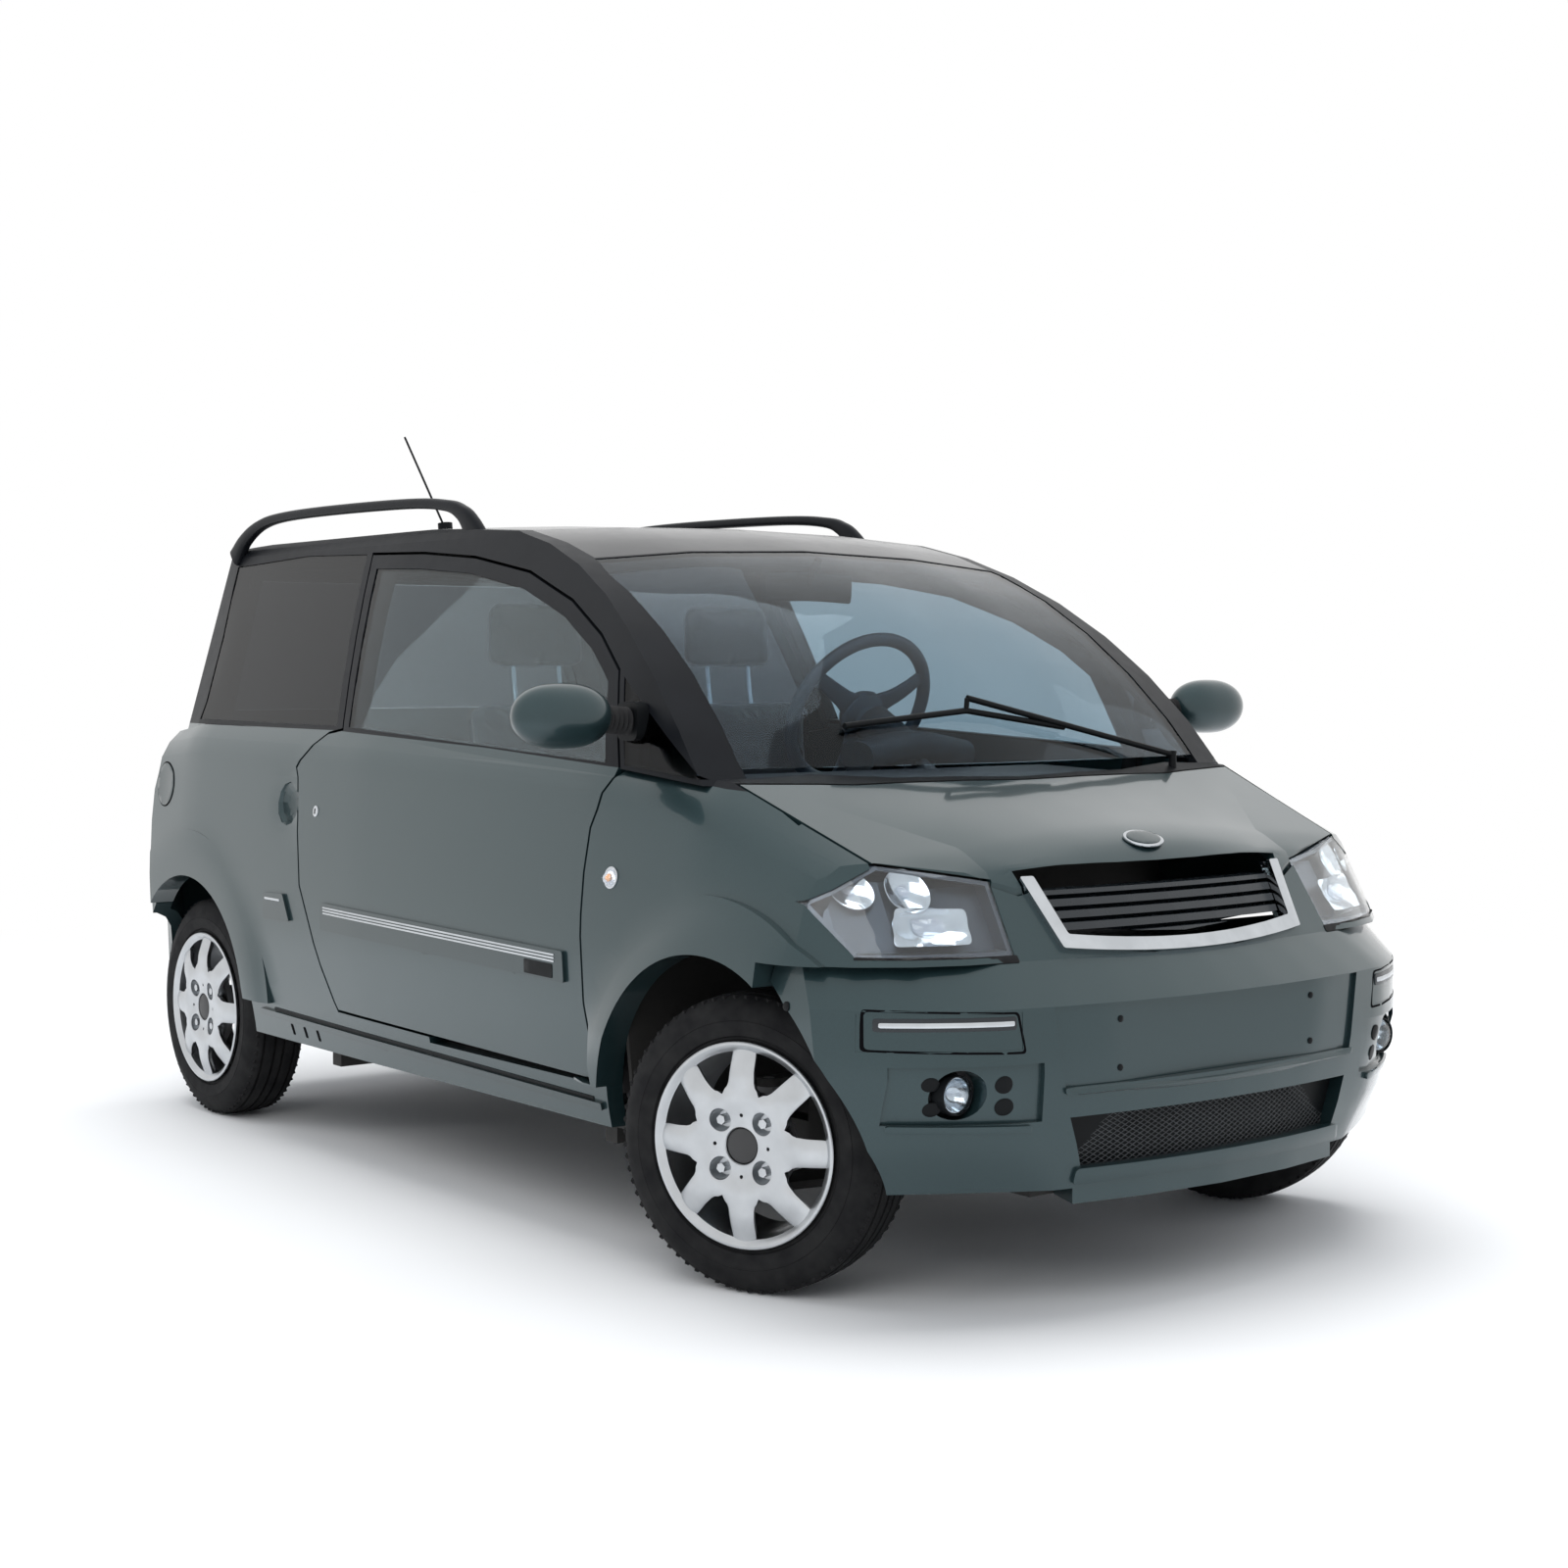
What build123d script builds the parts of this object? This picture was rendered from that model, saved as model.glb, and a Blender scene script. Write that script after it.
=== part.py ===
from build123d import *
import os
from functools import lru_cache
from math import asin, cos, radians, sin, sqrt

# A two-seat microcar at its real size, in millimetres.
# +X is forward, +Y is left, +Z is up. The origin is on the ground, under the middle of the car.

os.makedirs("parts", exist_ok=True)

# Overall
FRONT_X = 1530.0            # front face of the bumper on the centre line
REAR_X = -1530.0            # rear face of the rear bumper
GROUND_CLEARANCE = 245.0    # underside of the body sides

# Wheels
TYRE_R = 265.0
TYRE_W = 150.0
RIM_R = 182.0               # outer edge of the wheel's flange
RIM_WELL_R = 165.0
FRONT_AXLE_X = 989.0
REAR_AXLE_X = -1177.0
WHEEL_FACE_Y = 690.0        # outer face of a wheel that points straight ahead
KINGPIN_Y = 600.0
STEER_REST = 22.0           # degrees that the front wheels are turned to the left
SPOKES = 8
HUB_R = 52.0
NUT_CIRCLE_R = 60.0
NUT_WELL_R = 20.0
SPOKE_HALF_W = 25.0
WINDOW_R = (97.0, 159.0)    # inner and outer end of the windows between spokes

# Walls and gaps
WALL = 45.0                 # whole thickness of a lower wall or door
FRAME_WALL = 35.0           # thickness of pillars, roof rails and window frames
GLASS = 6.0
GAP = 6.0                   # shut line round doors and lids
SEAM = 3.0                  # gap between two fixed panels
SEAT = 0.3                  # running clearance where a lid or door rests on its frame
FLANGE = 22.0               # width of a frame flange behind a door or lid
FLANGE_T = 18.0

# Lower body: cross-sections along the car. Columns: x, half-width at the sill, at the
# waist (z = WAIST_Z), at the shoulder, shoulder height, half-width and height of the
# upper edge, height on the centre line.
WAIST_Z = 560.0
LOWER_SECTIONS = [
    # x, sill, waist, shoulder, z_shoulder, edge, z_edge, z_centre
    (-1560.0, 676.0, 712.0, 696.0, 820.0, 640.0, 915.0, 920.0),
    (-1177.0, 704.0, 732.0, 716.0, 850.0, 680.0, 958.0, 965.0),
    (-300.0, 712.0, 745.0, 724.0, 850.0, 692.0, 952.0, 960.0),
    (620.0, 712.0, 748.0, 720.0, 835.0, 676.0, 914.0, 930.0),
    (930.0, 708.0, 747.0, 713.0, 785.0, 636.0, 894.0, 914.0),
    (1263.0, 700.0, 738.0, 690.0, 690.0, 588.0, 767.0, 786.0),
    (1350.0, 696.0, 734.0, 676.0, 650.0, 560.0, 718.0, 744.0),
    (1560.0, 690.0, 726.0, 660.0, 540.0, 500.0, 590.0, 620.0),
]
SHOULDER_BULGE = 12.0

# Lower body: plan outlines by height. Columns: z, x of the nose on the centre line, x and y
# where the front corner starts, of its middle and where it ends, x and y where the rear corner
# starts and ends, x of the tail on the centre line.
PLAN_LEVELS = [
    # z, nose, corner start, corner middle, corner end, tail start, tail end, tail
    (200.0, 1482.0, 1440.0, 400.0, 1390.0, 570.0, 1150.0, 765.0, -1400.0, 735.0, -1490.0, 640.0,
     -1500.0),
    (575.0, 1470.0, 1428.0, 400.0, 1384.0, 580.0, 1150.0, 765.0, -1430.0, 735.0, -1518.0, 640.0,
     -1530.0),
    (790.0, 1320.0, 1290.0, 400.0, 1251.0, 580.0, 1060.0, 765.0, -1420.0, 735.0, -1515.0, 640.0,
     -1528.0),
    (1000.0, 1232.0, 1200.0, 380.0, 1150.0, 560.0, 960.0, 765.0, -1330.0, 735.0, -1440.0, 600.0,
     -1462.0),
]
CORNER_BULGE = 0.24         # how far the rear corner arcs bow out, as a share of their chord

# Facets that stand for the arcs of each loft
SIDE_FACETS = 5
SHOULDER_FACETS = 3
CROWN_FACETS = 8
CORNER_FACETS = 5
SCREEN_FACETS = 7

# Greenhouse: cross-sections along the car. Columns: x, half-width at the belt, at mid window,
# at the window's top, and where the roof starts.
CABIN_Z = (880.0, 1100.0, 1352.0, 1398.0)
CABIN_SECTIONS = [
    # x, belt, middle, top, roof edge
    (-1560.0, 668.0, 606.0, 520.0, 490.0),
    (-400.0, 712.0, 650.0, 560.0, 528.0),
    (620.0, 704.0, 646.0, 560.0, 528.0),
    (1100.0, 650.0, 620.0, 560.0, 528.0),
]
CABIN_CROWN = 1424.0
# Side profiles of screen, roof and tail. Columns: y, screen foot x, screen middle x and z,
# screen top x and z, roof middle x and z, roof rear x and z, tail foot x
CABIN_PROFILES = [
    (740.0, 876.0, 530.0, 1180.0, 60.0, 1362.0, -650.0, 1386.0, -1470.0, 1366.0, -1442.0),
    (0.0, 1003.0, 622.0, 1210.0, 90.0, 1398.0, -650.0, 1424.0, -1502.0, 1398.0, -1474.0),
]
# Plan outlines that round the tail's corners. Columns: z, corner start x and y, corner end
# x and y
CABIN_TAIL = [
    (780.0, -1330.0, 704.0, -1476.0, 560.0),
    (1440.0, -1372.0, 494.0, -1506.0, 370.0),
]
CABIN_FOOT_Z = 880.0
PROFILE_SHARES = (-1.0, -0.72, -0.4, 0.0, 0.4, 0.72, 1.0)

# Side outlines (x, z)
BELT = [(-1600.0, 957.0), (-480.0, 957.0), (180.0, 936.0), (660.0, 910.0), (1075.0, 868.0)]
DOOR_LOWER = [(637.0, 330.0), (612.0, 470.0), (602.0, 640.0), (607.0, 800.0), (655.0, 912.0)]
DOOR_REAR = [(-402.0, 345.0), (-468.0, 440.0), (-558.0, 612.0), (-580.0, 760.0), (-602.0, 872.0),
             (-505.0, 951.0)]
DOOR_TOP = [(590.0, 1092.0), (498.0, 1160.0), (362.0, 1228.0), (169.0, 1290.0), (-71.0, 1328.0),
            (-300.0, 1345.0), (-548.0, 1352.0)]
DOOR_POST_FOOT = (-442.0, 960.0)
FRAME_BAND = 34.0           # width of the door's window frame
QUARTER_GLASS = [(-476.0, 966.0), (-1262.0, 968.0), (-1250.0, 1010.0), (-1262.0, 1174.0),
                 (-1300.0, 1346.0), (-900.0, 1360.0), (-578.0, 1352.0)]
CORNER_GLASS = [(668.0, 917.0), (886.0, 897.0), (612.0, 1080.0)]

# Wheel arches
FRONT_ARCH_R = 335.0
REAR_ARCH_R = 325.0
ARCH_Z = 265.0
FLARE_R = 438.0             # outer edge of the raised band round an arch
FLARE_Y = 759.0             # its lip's distance from the centre line
FLARE_H = 15.0              # the most that it stands out

# Sills
SILL_TOP_Z = 324.0
SILL_BOTTOM_Z = 245.0

# Bonnet and lamps
# Right half of the bonnet's outline seen from above (x, distance from the centre line)
BONNET = [(1008.0, 0.0), (985.0, 400.0), (938.0, 632.0), (1260.0, 590.0), (1332.0, 386.0),
          (1350.0, 340.0), (1362.0, 0.0)]
BONNET_WALL = 22.0
LAMP = [(396.0, 612.0), (657.0, 614.0), (697.0, 706.0), (584.0, 765.0), (386.0, 732.0)]
GRILLE_TOP = (330.0, 738.0)
GRILLE_BOTTOM = (300.0, 622.0)
GRILLE_FRAME = 26.0
SLATS = 6

# Roof panel seen from above (x, y)
ROOF = [(320.0, -526.0), (320.0, 526.0), (-1380.0, 486.0), (-1420.0, 440.0), (-1420.0, -440.0),
        (-1380.0, -486.0)]

# Front bumper. Columns: z, x on the centre line, x and y at the corner's start, middle and end
BUMPER_TOP_Z = 603.0
BUMPER_LEVELS = [
    (222.0, 1512.0, 1472.0, 370.0, 1394.0, 510.0, 1312.0, 640.0),
    (300.0, 1520.0, 1474.0, 430.0, 1394.0, 570.0, 1296.0, 696.0),
    (420.0, 1524.0, 1474.0, 480.0, 1394.0, 616.0, 1280.0, 724.0),
    (535.0, 1530.0, 1470.0, 480.0, 1390.0, 618.0, 1270.0, 730.0),
    (BUMPER_TOP_Z, 1452.0, 1404.0, 430.0, 1330.0, 592.0, 1222.0, 708.0),
]
# The lip under the middle of the bumper: half of its plan outline (x, y) and its height
LIP = [(1402.0, 300.0), (1478.0, 330.0), (1503.0, 180.0), (1514.0, 0.0)]
LIP_Z = (195.0, 236.0)
BUMPER_WALL = 38.0
BUMPER_REAR_X = 1150.0
PLATE_TOP = (385.0, 534.0)      # half-width and height of the plate recess's upper edge
PLATE_BOTTOM = (362.0, 396.0)
PLATE_X = 1502.0                # flat seat of the plate
PLATE_EDGE_DEPTH = 7.0          # depth of the recess beside the flat seat
MESH_TOP = (350.0, 346.0)       # half-width and height of the lower intake's upper edge
MESH_BOTTOM = (320.0, 256.0)
PLATE_HOLE_Y = 243.0
PLATE_HOLE_Z = (421.0, 504.0)
PLATE_HOLE_R = 3.0
FOG_Y = 541.0
FOG_Z = 394.0
FOG_R = 29.0
FOG_HOLE_R = 42.0
FOG_X = (1380.0, 1424.0)        # back and front of the lamp
FOG_POCKET_Y = (405.0, 645.0)
FOG_POCKET_Z = (344.0, 443.0)
FOG_POCKET_DEPTH = 9.0
INSERT_Y = (446.0, 672.0)
INSERT_Z = (468.0, 530.0)

# Running gear
SPINDLE_R = 14.0
SPINDLE_FIT = 0.4           # clearance round spindles and kingpins
KINGPIN_R = 10.0
KINGPIN_Z = (170.0, 372.0)
RAIL_Y = 330.0              # middle of each chassis rail
RAIL_W = 50.0
RAIL_Z = (196.0, 236.0)
CROSSMEMBERS = (-1420.0, -700.0, 0.0, 600.0, 1130.0, 1380.0)
OUTRIGGERS = (-560.0, 560.0)
OUTRIGGER_Y = 650.0
ARM_T = 14.0
BEAM_R = 28.0               # rear axle tube
DRUM_R = 48.0
TOWER_Y = -480.0
TOWER_TOP_Z = 640.0
FLOOR_T = 12.0
ENGINE_X = (740.0, 1135.0)
ENGINE_Y = 235.0
ENGINE_Z = (RAIL_Z[1], 610.0)
BULKHEAD_X = 684.0
BULKHEAD_T = 10.0

# Cabin
SEAT_Y = 268.0
SEAT_W = 440.0
SEAT_X = (-300.0, 180.0)    # rear and front of the seat cushion
SEAT_Z = (330.0, 500.0)     # base and top of the seat cushion
BACK_TOP_Z = 1045.0
HEADREST_Z = (1085.0, 1250.0)
DASH_X = (330.0, 800.0)
DASH_Z = (640.0, 880.0)
DASH_SHELF_Z = 742.0        # top of the bulkhead, which the dashboard sits on
DASH_HALF_W = 585.0
STEERING = (205.0, 245.0, 1000.0)
STEERING_R = 178.0
STEERING_GRIP_R = 15.0
STEERING_TILT = 28.0        # degrees of the column above level
COLUMN_R = 17.0

# Tailgate
TAILGATE_HALF_W = 566.0
TAILGATE_Z = (668.0, 1350.0)   # its top stays below the roof's inner face
TAILGATE_SHELF = (835.0, 905.0)  # the frame is open here, where the shoulders swing through
TAILGATE_SHELF_Y = 500.0
TAILGATE_CORNER = ((-1700.0, -1395.0), (-412.0, -376.0), (1320.0, 1375.0))  # open, as above
SLIVER = 1000.0                # what a cut leaves below this volume is dropped
TAILGATE_GLASS_Z = (985.0, 1318.0)
REAR_BUMPER_TOP = 650.0
REAR_BUMPER_BOTTOM = 215.0
TAIL_LAMP = [(598.0, 690.0), (690.0, 690.0), (690.0, 860.0), (640.0, 900.0), (598.0, 900.0)]

# Hollow in the quarter panel behind the door's rear edge, for the fingers
HANDLE = (-634.0, -729.0, 790.0)
HANDLE_R = 52.0
HANDLE_DEPTH = 24.0


def mirrored(shape):
    """The same shape on the other side of the car."""
    return mirror(shape, about=Plane.XZ)


def solid_of(shape):
    """The largest solid of a result, so that a sliver left by a cut is dropped."""
    solids = sorted(shape.solids(), key=lambda s: s.volume)
    return solids[-1]


def block(x, y, z):
    """A box from three (low, high) pairs."""
    size = (x[1] - x[0], y[1] - y[0], z[1] - z[0])
    return Pos((x[0] + x[1]) / 2, (y[0] + y[1]) / 2, (z[0] + z[1]) / 2) * Box(*size)


def rod(start, end, radius):
    """A round bar between two points."""
    a, b = Vector(*start), Vector(*end)
    return Plane(origin=a, z_dir=b - a) * extrude(Circle(radius), (b - a).length)


def prism_y(points, y):
    """An (x, z) outline carried across the car from y[0] to y[1]."""
    face = make_face(Polyline(*[(px, 0, pz) for px, pz in points], close=True))
    return Pos(0, y[0], 0) * extrude(face, y[1] - y[0], dir=(0, 1, 0))


def prism_z(points, z):
    """An (x, y) outline carried upwards from z[0] to z[1]."""
    face = make_face(Polyline(*[(px, py, 0) for px, py in points], close=True))
    return Pos(0, 0, z[0]) * extrude(face, z[1] - z[0], dir=(0, 0, 1))


def prism_x(points, x):
    """A (y, z) outline carried forwards from x[0] to x[1]."""
    face = make_face(Polyline(*[(0, py, pz) for py, pz in points], close=True))
    return Pos(x[0], 0, 0) * extrude(face, x[1] - x[0], dir=(1, 0, 0))


def polygon(x, z, radius, sides):
    """A regular outline about a point."""
    turns = [radians(360.0 * k / sides) for k in range(sides)]
    return [(x + radius * cos(t), z + radius * sin(t)) for t in turns]


def grown(points, by):
    """An outline of plain points moved outwards by a distance, corners kept sharp."""
    area = sum(a[0] * b[1] - b[0] * a[1] for a, b in zip(points, points[1:] + points[:1]))
    turn = 1 if area > 0 else -1
    result = []
    count = len(points)
    for i in range(count):
        before, here, after = points[i - 1], points[i], points[(i + 1) % count]
        normals = []
        for a, b in ((before, here), (here, after)):
            dx, dy = b[0] - a[0], b[1] - a[1]
            length = sqrt(dx * dx + dy * dy)
            normals.append((turn * dy / length, -turn * dx / length))
        (ax, ay), (bx, by_) = normals
        scale = by / (1 + ax * bx + ay * by_)
        result.append((here[0] + (ax + bx) * scale, here[1] + (ay + by_) * scale))
    return result


def bowed(a, b, share):
    """An arc from a to b that bows to the right of its direction by a share of its length."""
    dx, dy = b[0] - a[0], b[1] - a[1]
    middle = ((a[0] + b[0]) / 2 + dy * share, (a[1] + b[1]) / 2 - dx * share)
    return middle


def arc_lines(a, middle, b, count):
    """The arc through three points as a chain of straight edges."""
    arc = ThreePointArc(a, middle, b)
    points = [a] + [arc.position_at(i / count) for i in range(1, count)] + [b]
    return [Line(p, q) for p, q in zip(points, points[1:])]


# Main volumes

def lower_section(row, inset):
    """One cross-section of the lower body."""
    x, sill, waist, shoulder, z_sh, edge, z_edge, z_centre = row
    foot = GROUND_CLEARANCE - (60.0 if inset else 0.0)
    a = (sill - inset, foot)
    b = (waist - inset, WAIST_Z)
    c = (shoulder - inset, z_sh - inset * 0.4)
    e = (edge - inset, z_edge - inset)
    top = (0.0, z_centre - inset)
    bow = ((c[0] + e[0]) / 2 + SHOULDER_BULGE, (c[1] + e[1]) / 2 + SHOULDER_BULGE)

    def at(p, sign=1):
        return (x, sign * p[0], p[1])

    return Wire([
        Line(at(a, -1), at(a)),
        *arc_lines(at(a), at(b), at(c), SIDE_FACETS),
        *arc_lines(at(c), at(bow), at(e), SHOULDER_FACETS),
        *arc_lines(at(e), at(top), at(e, -1), CROWN_FACETS),
        *arc_lines(at(e, -1), at(bow, -1), at(c, -1), SHOULDER_FACETS),
        *arc_lines(at(c, -1), at(b, -1), at(a, -1), SIDE_FACETS),
    ])


def plan_outline(row, inset):
    """One plan outline of the lower body."""
    z, nose, x1, y1, xm, ym, x2, y2, tx1, ty1, tx2, ty2, tail = row
    nose, x1, y1, x2 = nose - inset, x1 - inset, y1 - inset * 0.3, x2 - inset * 0.9
    xm, ym = xm - inset * 0.85, ym - inset * 0.53
    tx2, ty2, tail = tx2 + inset, ty2 - inset * 0.5, tail + inset
    bow = bowed((tx1, ty1), (tx2, ty2), -CORNER_BULGE)
    return Wire([
        *arc_lines((x1, -y1, z), (nose, 0, z), (x1, y1, z), CROWN_FACETS),
        *arc_lines((x1, y1, z), (xm, ym, z), (x2, y2, z), CORNER_FACETS),
        Line((x2, y2, z), (tx1, ty1, z)),
        *arc_lines((tx1, ty1, z), (bow[0], bow[1], z), (tx2, ty2, z), CORNER_FACETS),
        *arc_lines((tx2, ty2, z), (tail, 0, z), (tx2, -ty2, z), CROWN_FACETS),
        *arc_lines((tx2, -ty2, z), (bow[0], -bow[1], z), (tx1, -ty1, z), CORNER_FACETS),
        Line((tx1, -ty1, z), (x2, -y2, z)),
        *arc_lines((x2, -y2, z), (xm, -ym, z), (x1, -y1, z), CORNER_FACETS),
    ])


@lru_cache(maxsize=None)
def lower_volume(inset):
    """The lower body's volume, moved inwards by the inset."""
    along = Solid.make_loft([lower_section(r, inset) for r in LOWER_SECTIONS], True)
    plan = Solid.make_loft([plan_outline(r, inset) for r in PLAN_LEVELS], True)
    return along & plan


def cabin_section(row, inset):
    """One cross-section of the greenhouse."""
    x, belt, middle, top, edge = row
    z_belt, z_middle, z_top, z_edge = CABIN_Z
    foot = z_belt - (80.0 if inset else 0.0)
    a = (belt - inset + (z_belt - foot) * 0.25, foot)
    b = (middle - inset, z_middle)
    c = (top - inset, z_top - inset * 0.5)
    e = (edge - inset * 0.7, z_edge - inset)
    crown = (0.0, CABIN_CROWN - inset)
    bow = ((c[0] + e[0]) / 2 + 5.0, (c[1] + e[1]) / 2 + 5.0)

    def at(p, sign=1):
        return (x, sign * p[0], p[1])

    return Wire([
        Line(at(a, -1), at(a)),
        *arc_lines(at(a), at(b), at(c), SIDE_FACETS),
        *arc_lines(at(c), at(bow), at(e), SHOULDER_FACETS),
        *arc_lines(at(e), at(crown), at(e, -1), CROWN_FACETS),
        *arc_lines(at(e, -1), at(bow, -1), at(c, -1), SHOULDER_FACETS),
        *arc_lines(at(c, -1), at(b, -1), at(a, -1), SIDE_FACETS),
    ])


def cabin_profile(y, inset):
    """The side profile of screen, roof and tail in the lengthwise plane at y."""
    outer, centre = CABIN_PROFILES
    share = (y / outer[0]) ** 2
    values = [c + (o - c) * share for o, c in zip(outer[1:], centre[1:])]
    fx, mx, mz, sx, sz, rx, rz, bx, bz, tx = values
    foot = CABIN_FOOT_Z - (80.0 if inset else 0.0)
    sunk = inset * 0.8
    a = (fx - sunk * 1.6, y, CABIN_FOOT_Z)
    b = (mx - sunk * 0.75, y, mz - sunk * 0.75)
    c = (sx, y, sz - inset)
    d = (rx, y, rz - inset)
    e = (bx + inset, y, bz - inset)
    f = (tx + inset, y, foot)
    edges = arc_lines(a, b, c, SCREEN_FACETS) + arc_lines(c, d, e, SCREEN_FACETS)
    edges += [Line(e, f), Line(f, (a[0], y, foot))]
    if inset:
        edges.append(Line((a[0], y, foot), a))
    return Wire(edges)


def cabin_tail_outline(row, inset):
    """One plan outline that rounds the corners of the tail."""
    z, x1, y1, x2, y2 = row
    x2, y1, y2 = x2 + inset, y1 - inset, y2 - inset * 0.5
    front, flare = 1200.0, 360.0
    bow = bowed((x1, y1), (x2, y2), -CORNER_BULGE)
    return Wire([
        Line((front, -y1 - flare, z), (front, y1 + flare, z)),
        Line((front, y1 + flare, z), (x1, y1, z)),
        *arc_lines((x1, y1, z), (bow[0], bow[1], z), (x2, y2, z), CORNER_FACETS),
        *arc_lines((x2, y2, z), (x2 - 20.0, 0, z), (x2, -y2, z), CROWN_FACETS),
        *arc_lines((x2, -y2, z), (bow[0], -bow[1], z), (x1, -y1, z), CORNER_FACETS),
        Line((x1, -y1, z), (front, -y1 - flare, z)),
    ])


@lru_cache(maxsize=None)
def cabin_volume(inset):
    """The greenhouse's volume, moved inwards by the inset."""
    across = Solid.make_loft([cabin_section(r, inset) for r in CABIN_SECTIONS], True)
    reach = CABIN_PROFILES[0][0]
    length = Solid.make_loft([cabin_profile(reach * share, inset) for share in PROFILE_SHARES],
                             True)
    tail = Solid.make_loft([cabin_tail_outline(r, inset) for r in CABIN_TAIL], True)
    return across & length & tail


def bumper_outline(row, inset):
    """One plan outline of the front bumper."""
    z, nose, x1, y1, xm, ym, x2, y2 = row
    nose, x1, y1, x2, y2 = nose - inset, x1 - inset, y1 - inset * 0.4, x2 - inset * 0.6, y2 - inset
    xm, ym = xm - inset * 0.8, ym - inset * 0.6
    rear = BUMPER_REAR_X - (40.0 if inset else 0.0)
    return Wire([
        *arc_lines((x1, -y1, z), (nose, 0, z), (x1, y1, z), CROWN_FACETS),
        *arc_lines((x1, y1, z), (xm, ym, z), (x2, y2, z), CORNER_FACETS),
        Line((x2, y2, z), (rear, y2, z)),
        Line((rear, y2, z), (rear, -y2, z)),
        Line((rear, -y2, z), (x2, -y2, z)),
        *arc_lines((x2, -y2, z), (xm, -ym, z), (x1, -y1, z), CORNER_FACETS),
    ])


@lru_cache(maxsize=None)
def bumper_volume(inset):
    """The front bumper's volume, moved inwards by the inset."""
    rows = [list(r) for r in BUMPER_LEVELS]
    if inset:
        rows[0][0] -= 40.0
        rows[-1][0] -= inset * 0.6
    return Solid.make_loft([bumper_outline(r, inset) for r in rows], True)


def trapezium(top, bottom):
    """A (y, z) outline from half-width and height of its upper and lower edges."""
    return [(top[0], top[1]), (-top[0], top[1]), (-bottom[0], bottom[1]), (bottom[0], bottom[1])]


# Cutting shapes

SIDE = (-800.0, -440.0)     # how far a side outline is carried through the right side


def door_outline():
    return DOOR_LOWER + DOOR_TOP + [DOOR_POST_FOOT] + DOOR_REAR[::-1]


def window_outline():
    """The opening in the door for its glass."""
    front = DOOR_LOWER[-1]
    sink = FRAME_BAND - 6.0
    return grown([(front[0] + 2, front[1] - sink)] + DOOR_TOP
                 + [(DOOR_POST_FOOT[0], DOOR_POST_FOOT[1] - sink)], -FRAME_BAND)


def bonnet_outline():
    return BONNET + [(x, -y) for x, y in BONNET[-2:0:-1]]


def tailgate_outline():
    """The tailgate seen from behind (y, z)."""
    w, (z0, z1) = TAILGATE_HALF_W, TAILGATE_Z
    right = [(w - 60.0, z0), (w, z0 + 60.0), (w, 915.0), (w - 12.0, 980.0), (w - 116.0, z1)]
    return right + [(-y, z) for y, z in right[::-1]]


def tailgate_glass_outline():
    z0, z1 = TAILGATE_GLASS_Z
    right = [(510.0, z0), (424.0, z1)]
    return right + [(-y, z) for y, z in right[::-1]]


def grille_outline():
    (yt, zt), (yb, zb) = GRILLE_TOP, GRILLE_BOTTOM
    return [(yt, zt), (-yt, zt), (-yb, zb), (0.0, zb - 16.0), (yb, zb)]


def arch(x, radius, y=(-900.0, 900.0)):
    """A cylinder across the car at a wheel arch."""
    disc = Plane(origin=(x, y[0], ARCH_Z), z_dir=(0, 1, 0)) * Circle(radius)
    return extrude(disc, y[1] - y[0], dir=(0, 1, 0))


def flare(x, radius, hollow):
    """The raised band round the right side's wheel arch, tapered to its outer edge."""
    outer = FLARE_R
    band = Plane(origin=(x, 0, ARCH_Z), x_dir=(1, 0, 0), z_dir=(0, 0, 1)) * make_face(
        Polyline((radius, -640.0, 0), (radius, -FLARE_Y, 0), (radius + 12.0, -FLARE_Y - 1.0, 0),
                 (outer, -FLARE_Y + 28.0, 0), (outer, -640.0, 0), close=True))
    ring = revolve(band, Axis((x, 0, ARCH_Z), (0, 1, 0)), 360.0)
    return (ring & lower_volume(-FLARE_H)) - hollow


BEHIND = (-1700.0, -1300.0)
AHEAD = (1050.0, 1700.0)
SKY = (500.0, 1600.0)
ABOVE_BELT = BELT + [(1200.0, 850.0), (1200.0, 1500.0), (-1600.0, 1500.0)]


def both(shape):
    """A shape on the right side, with the same on the left."""
    return shape + mirrored(shape)


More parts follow.
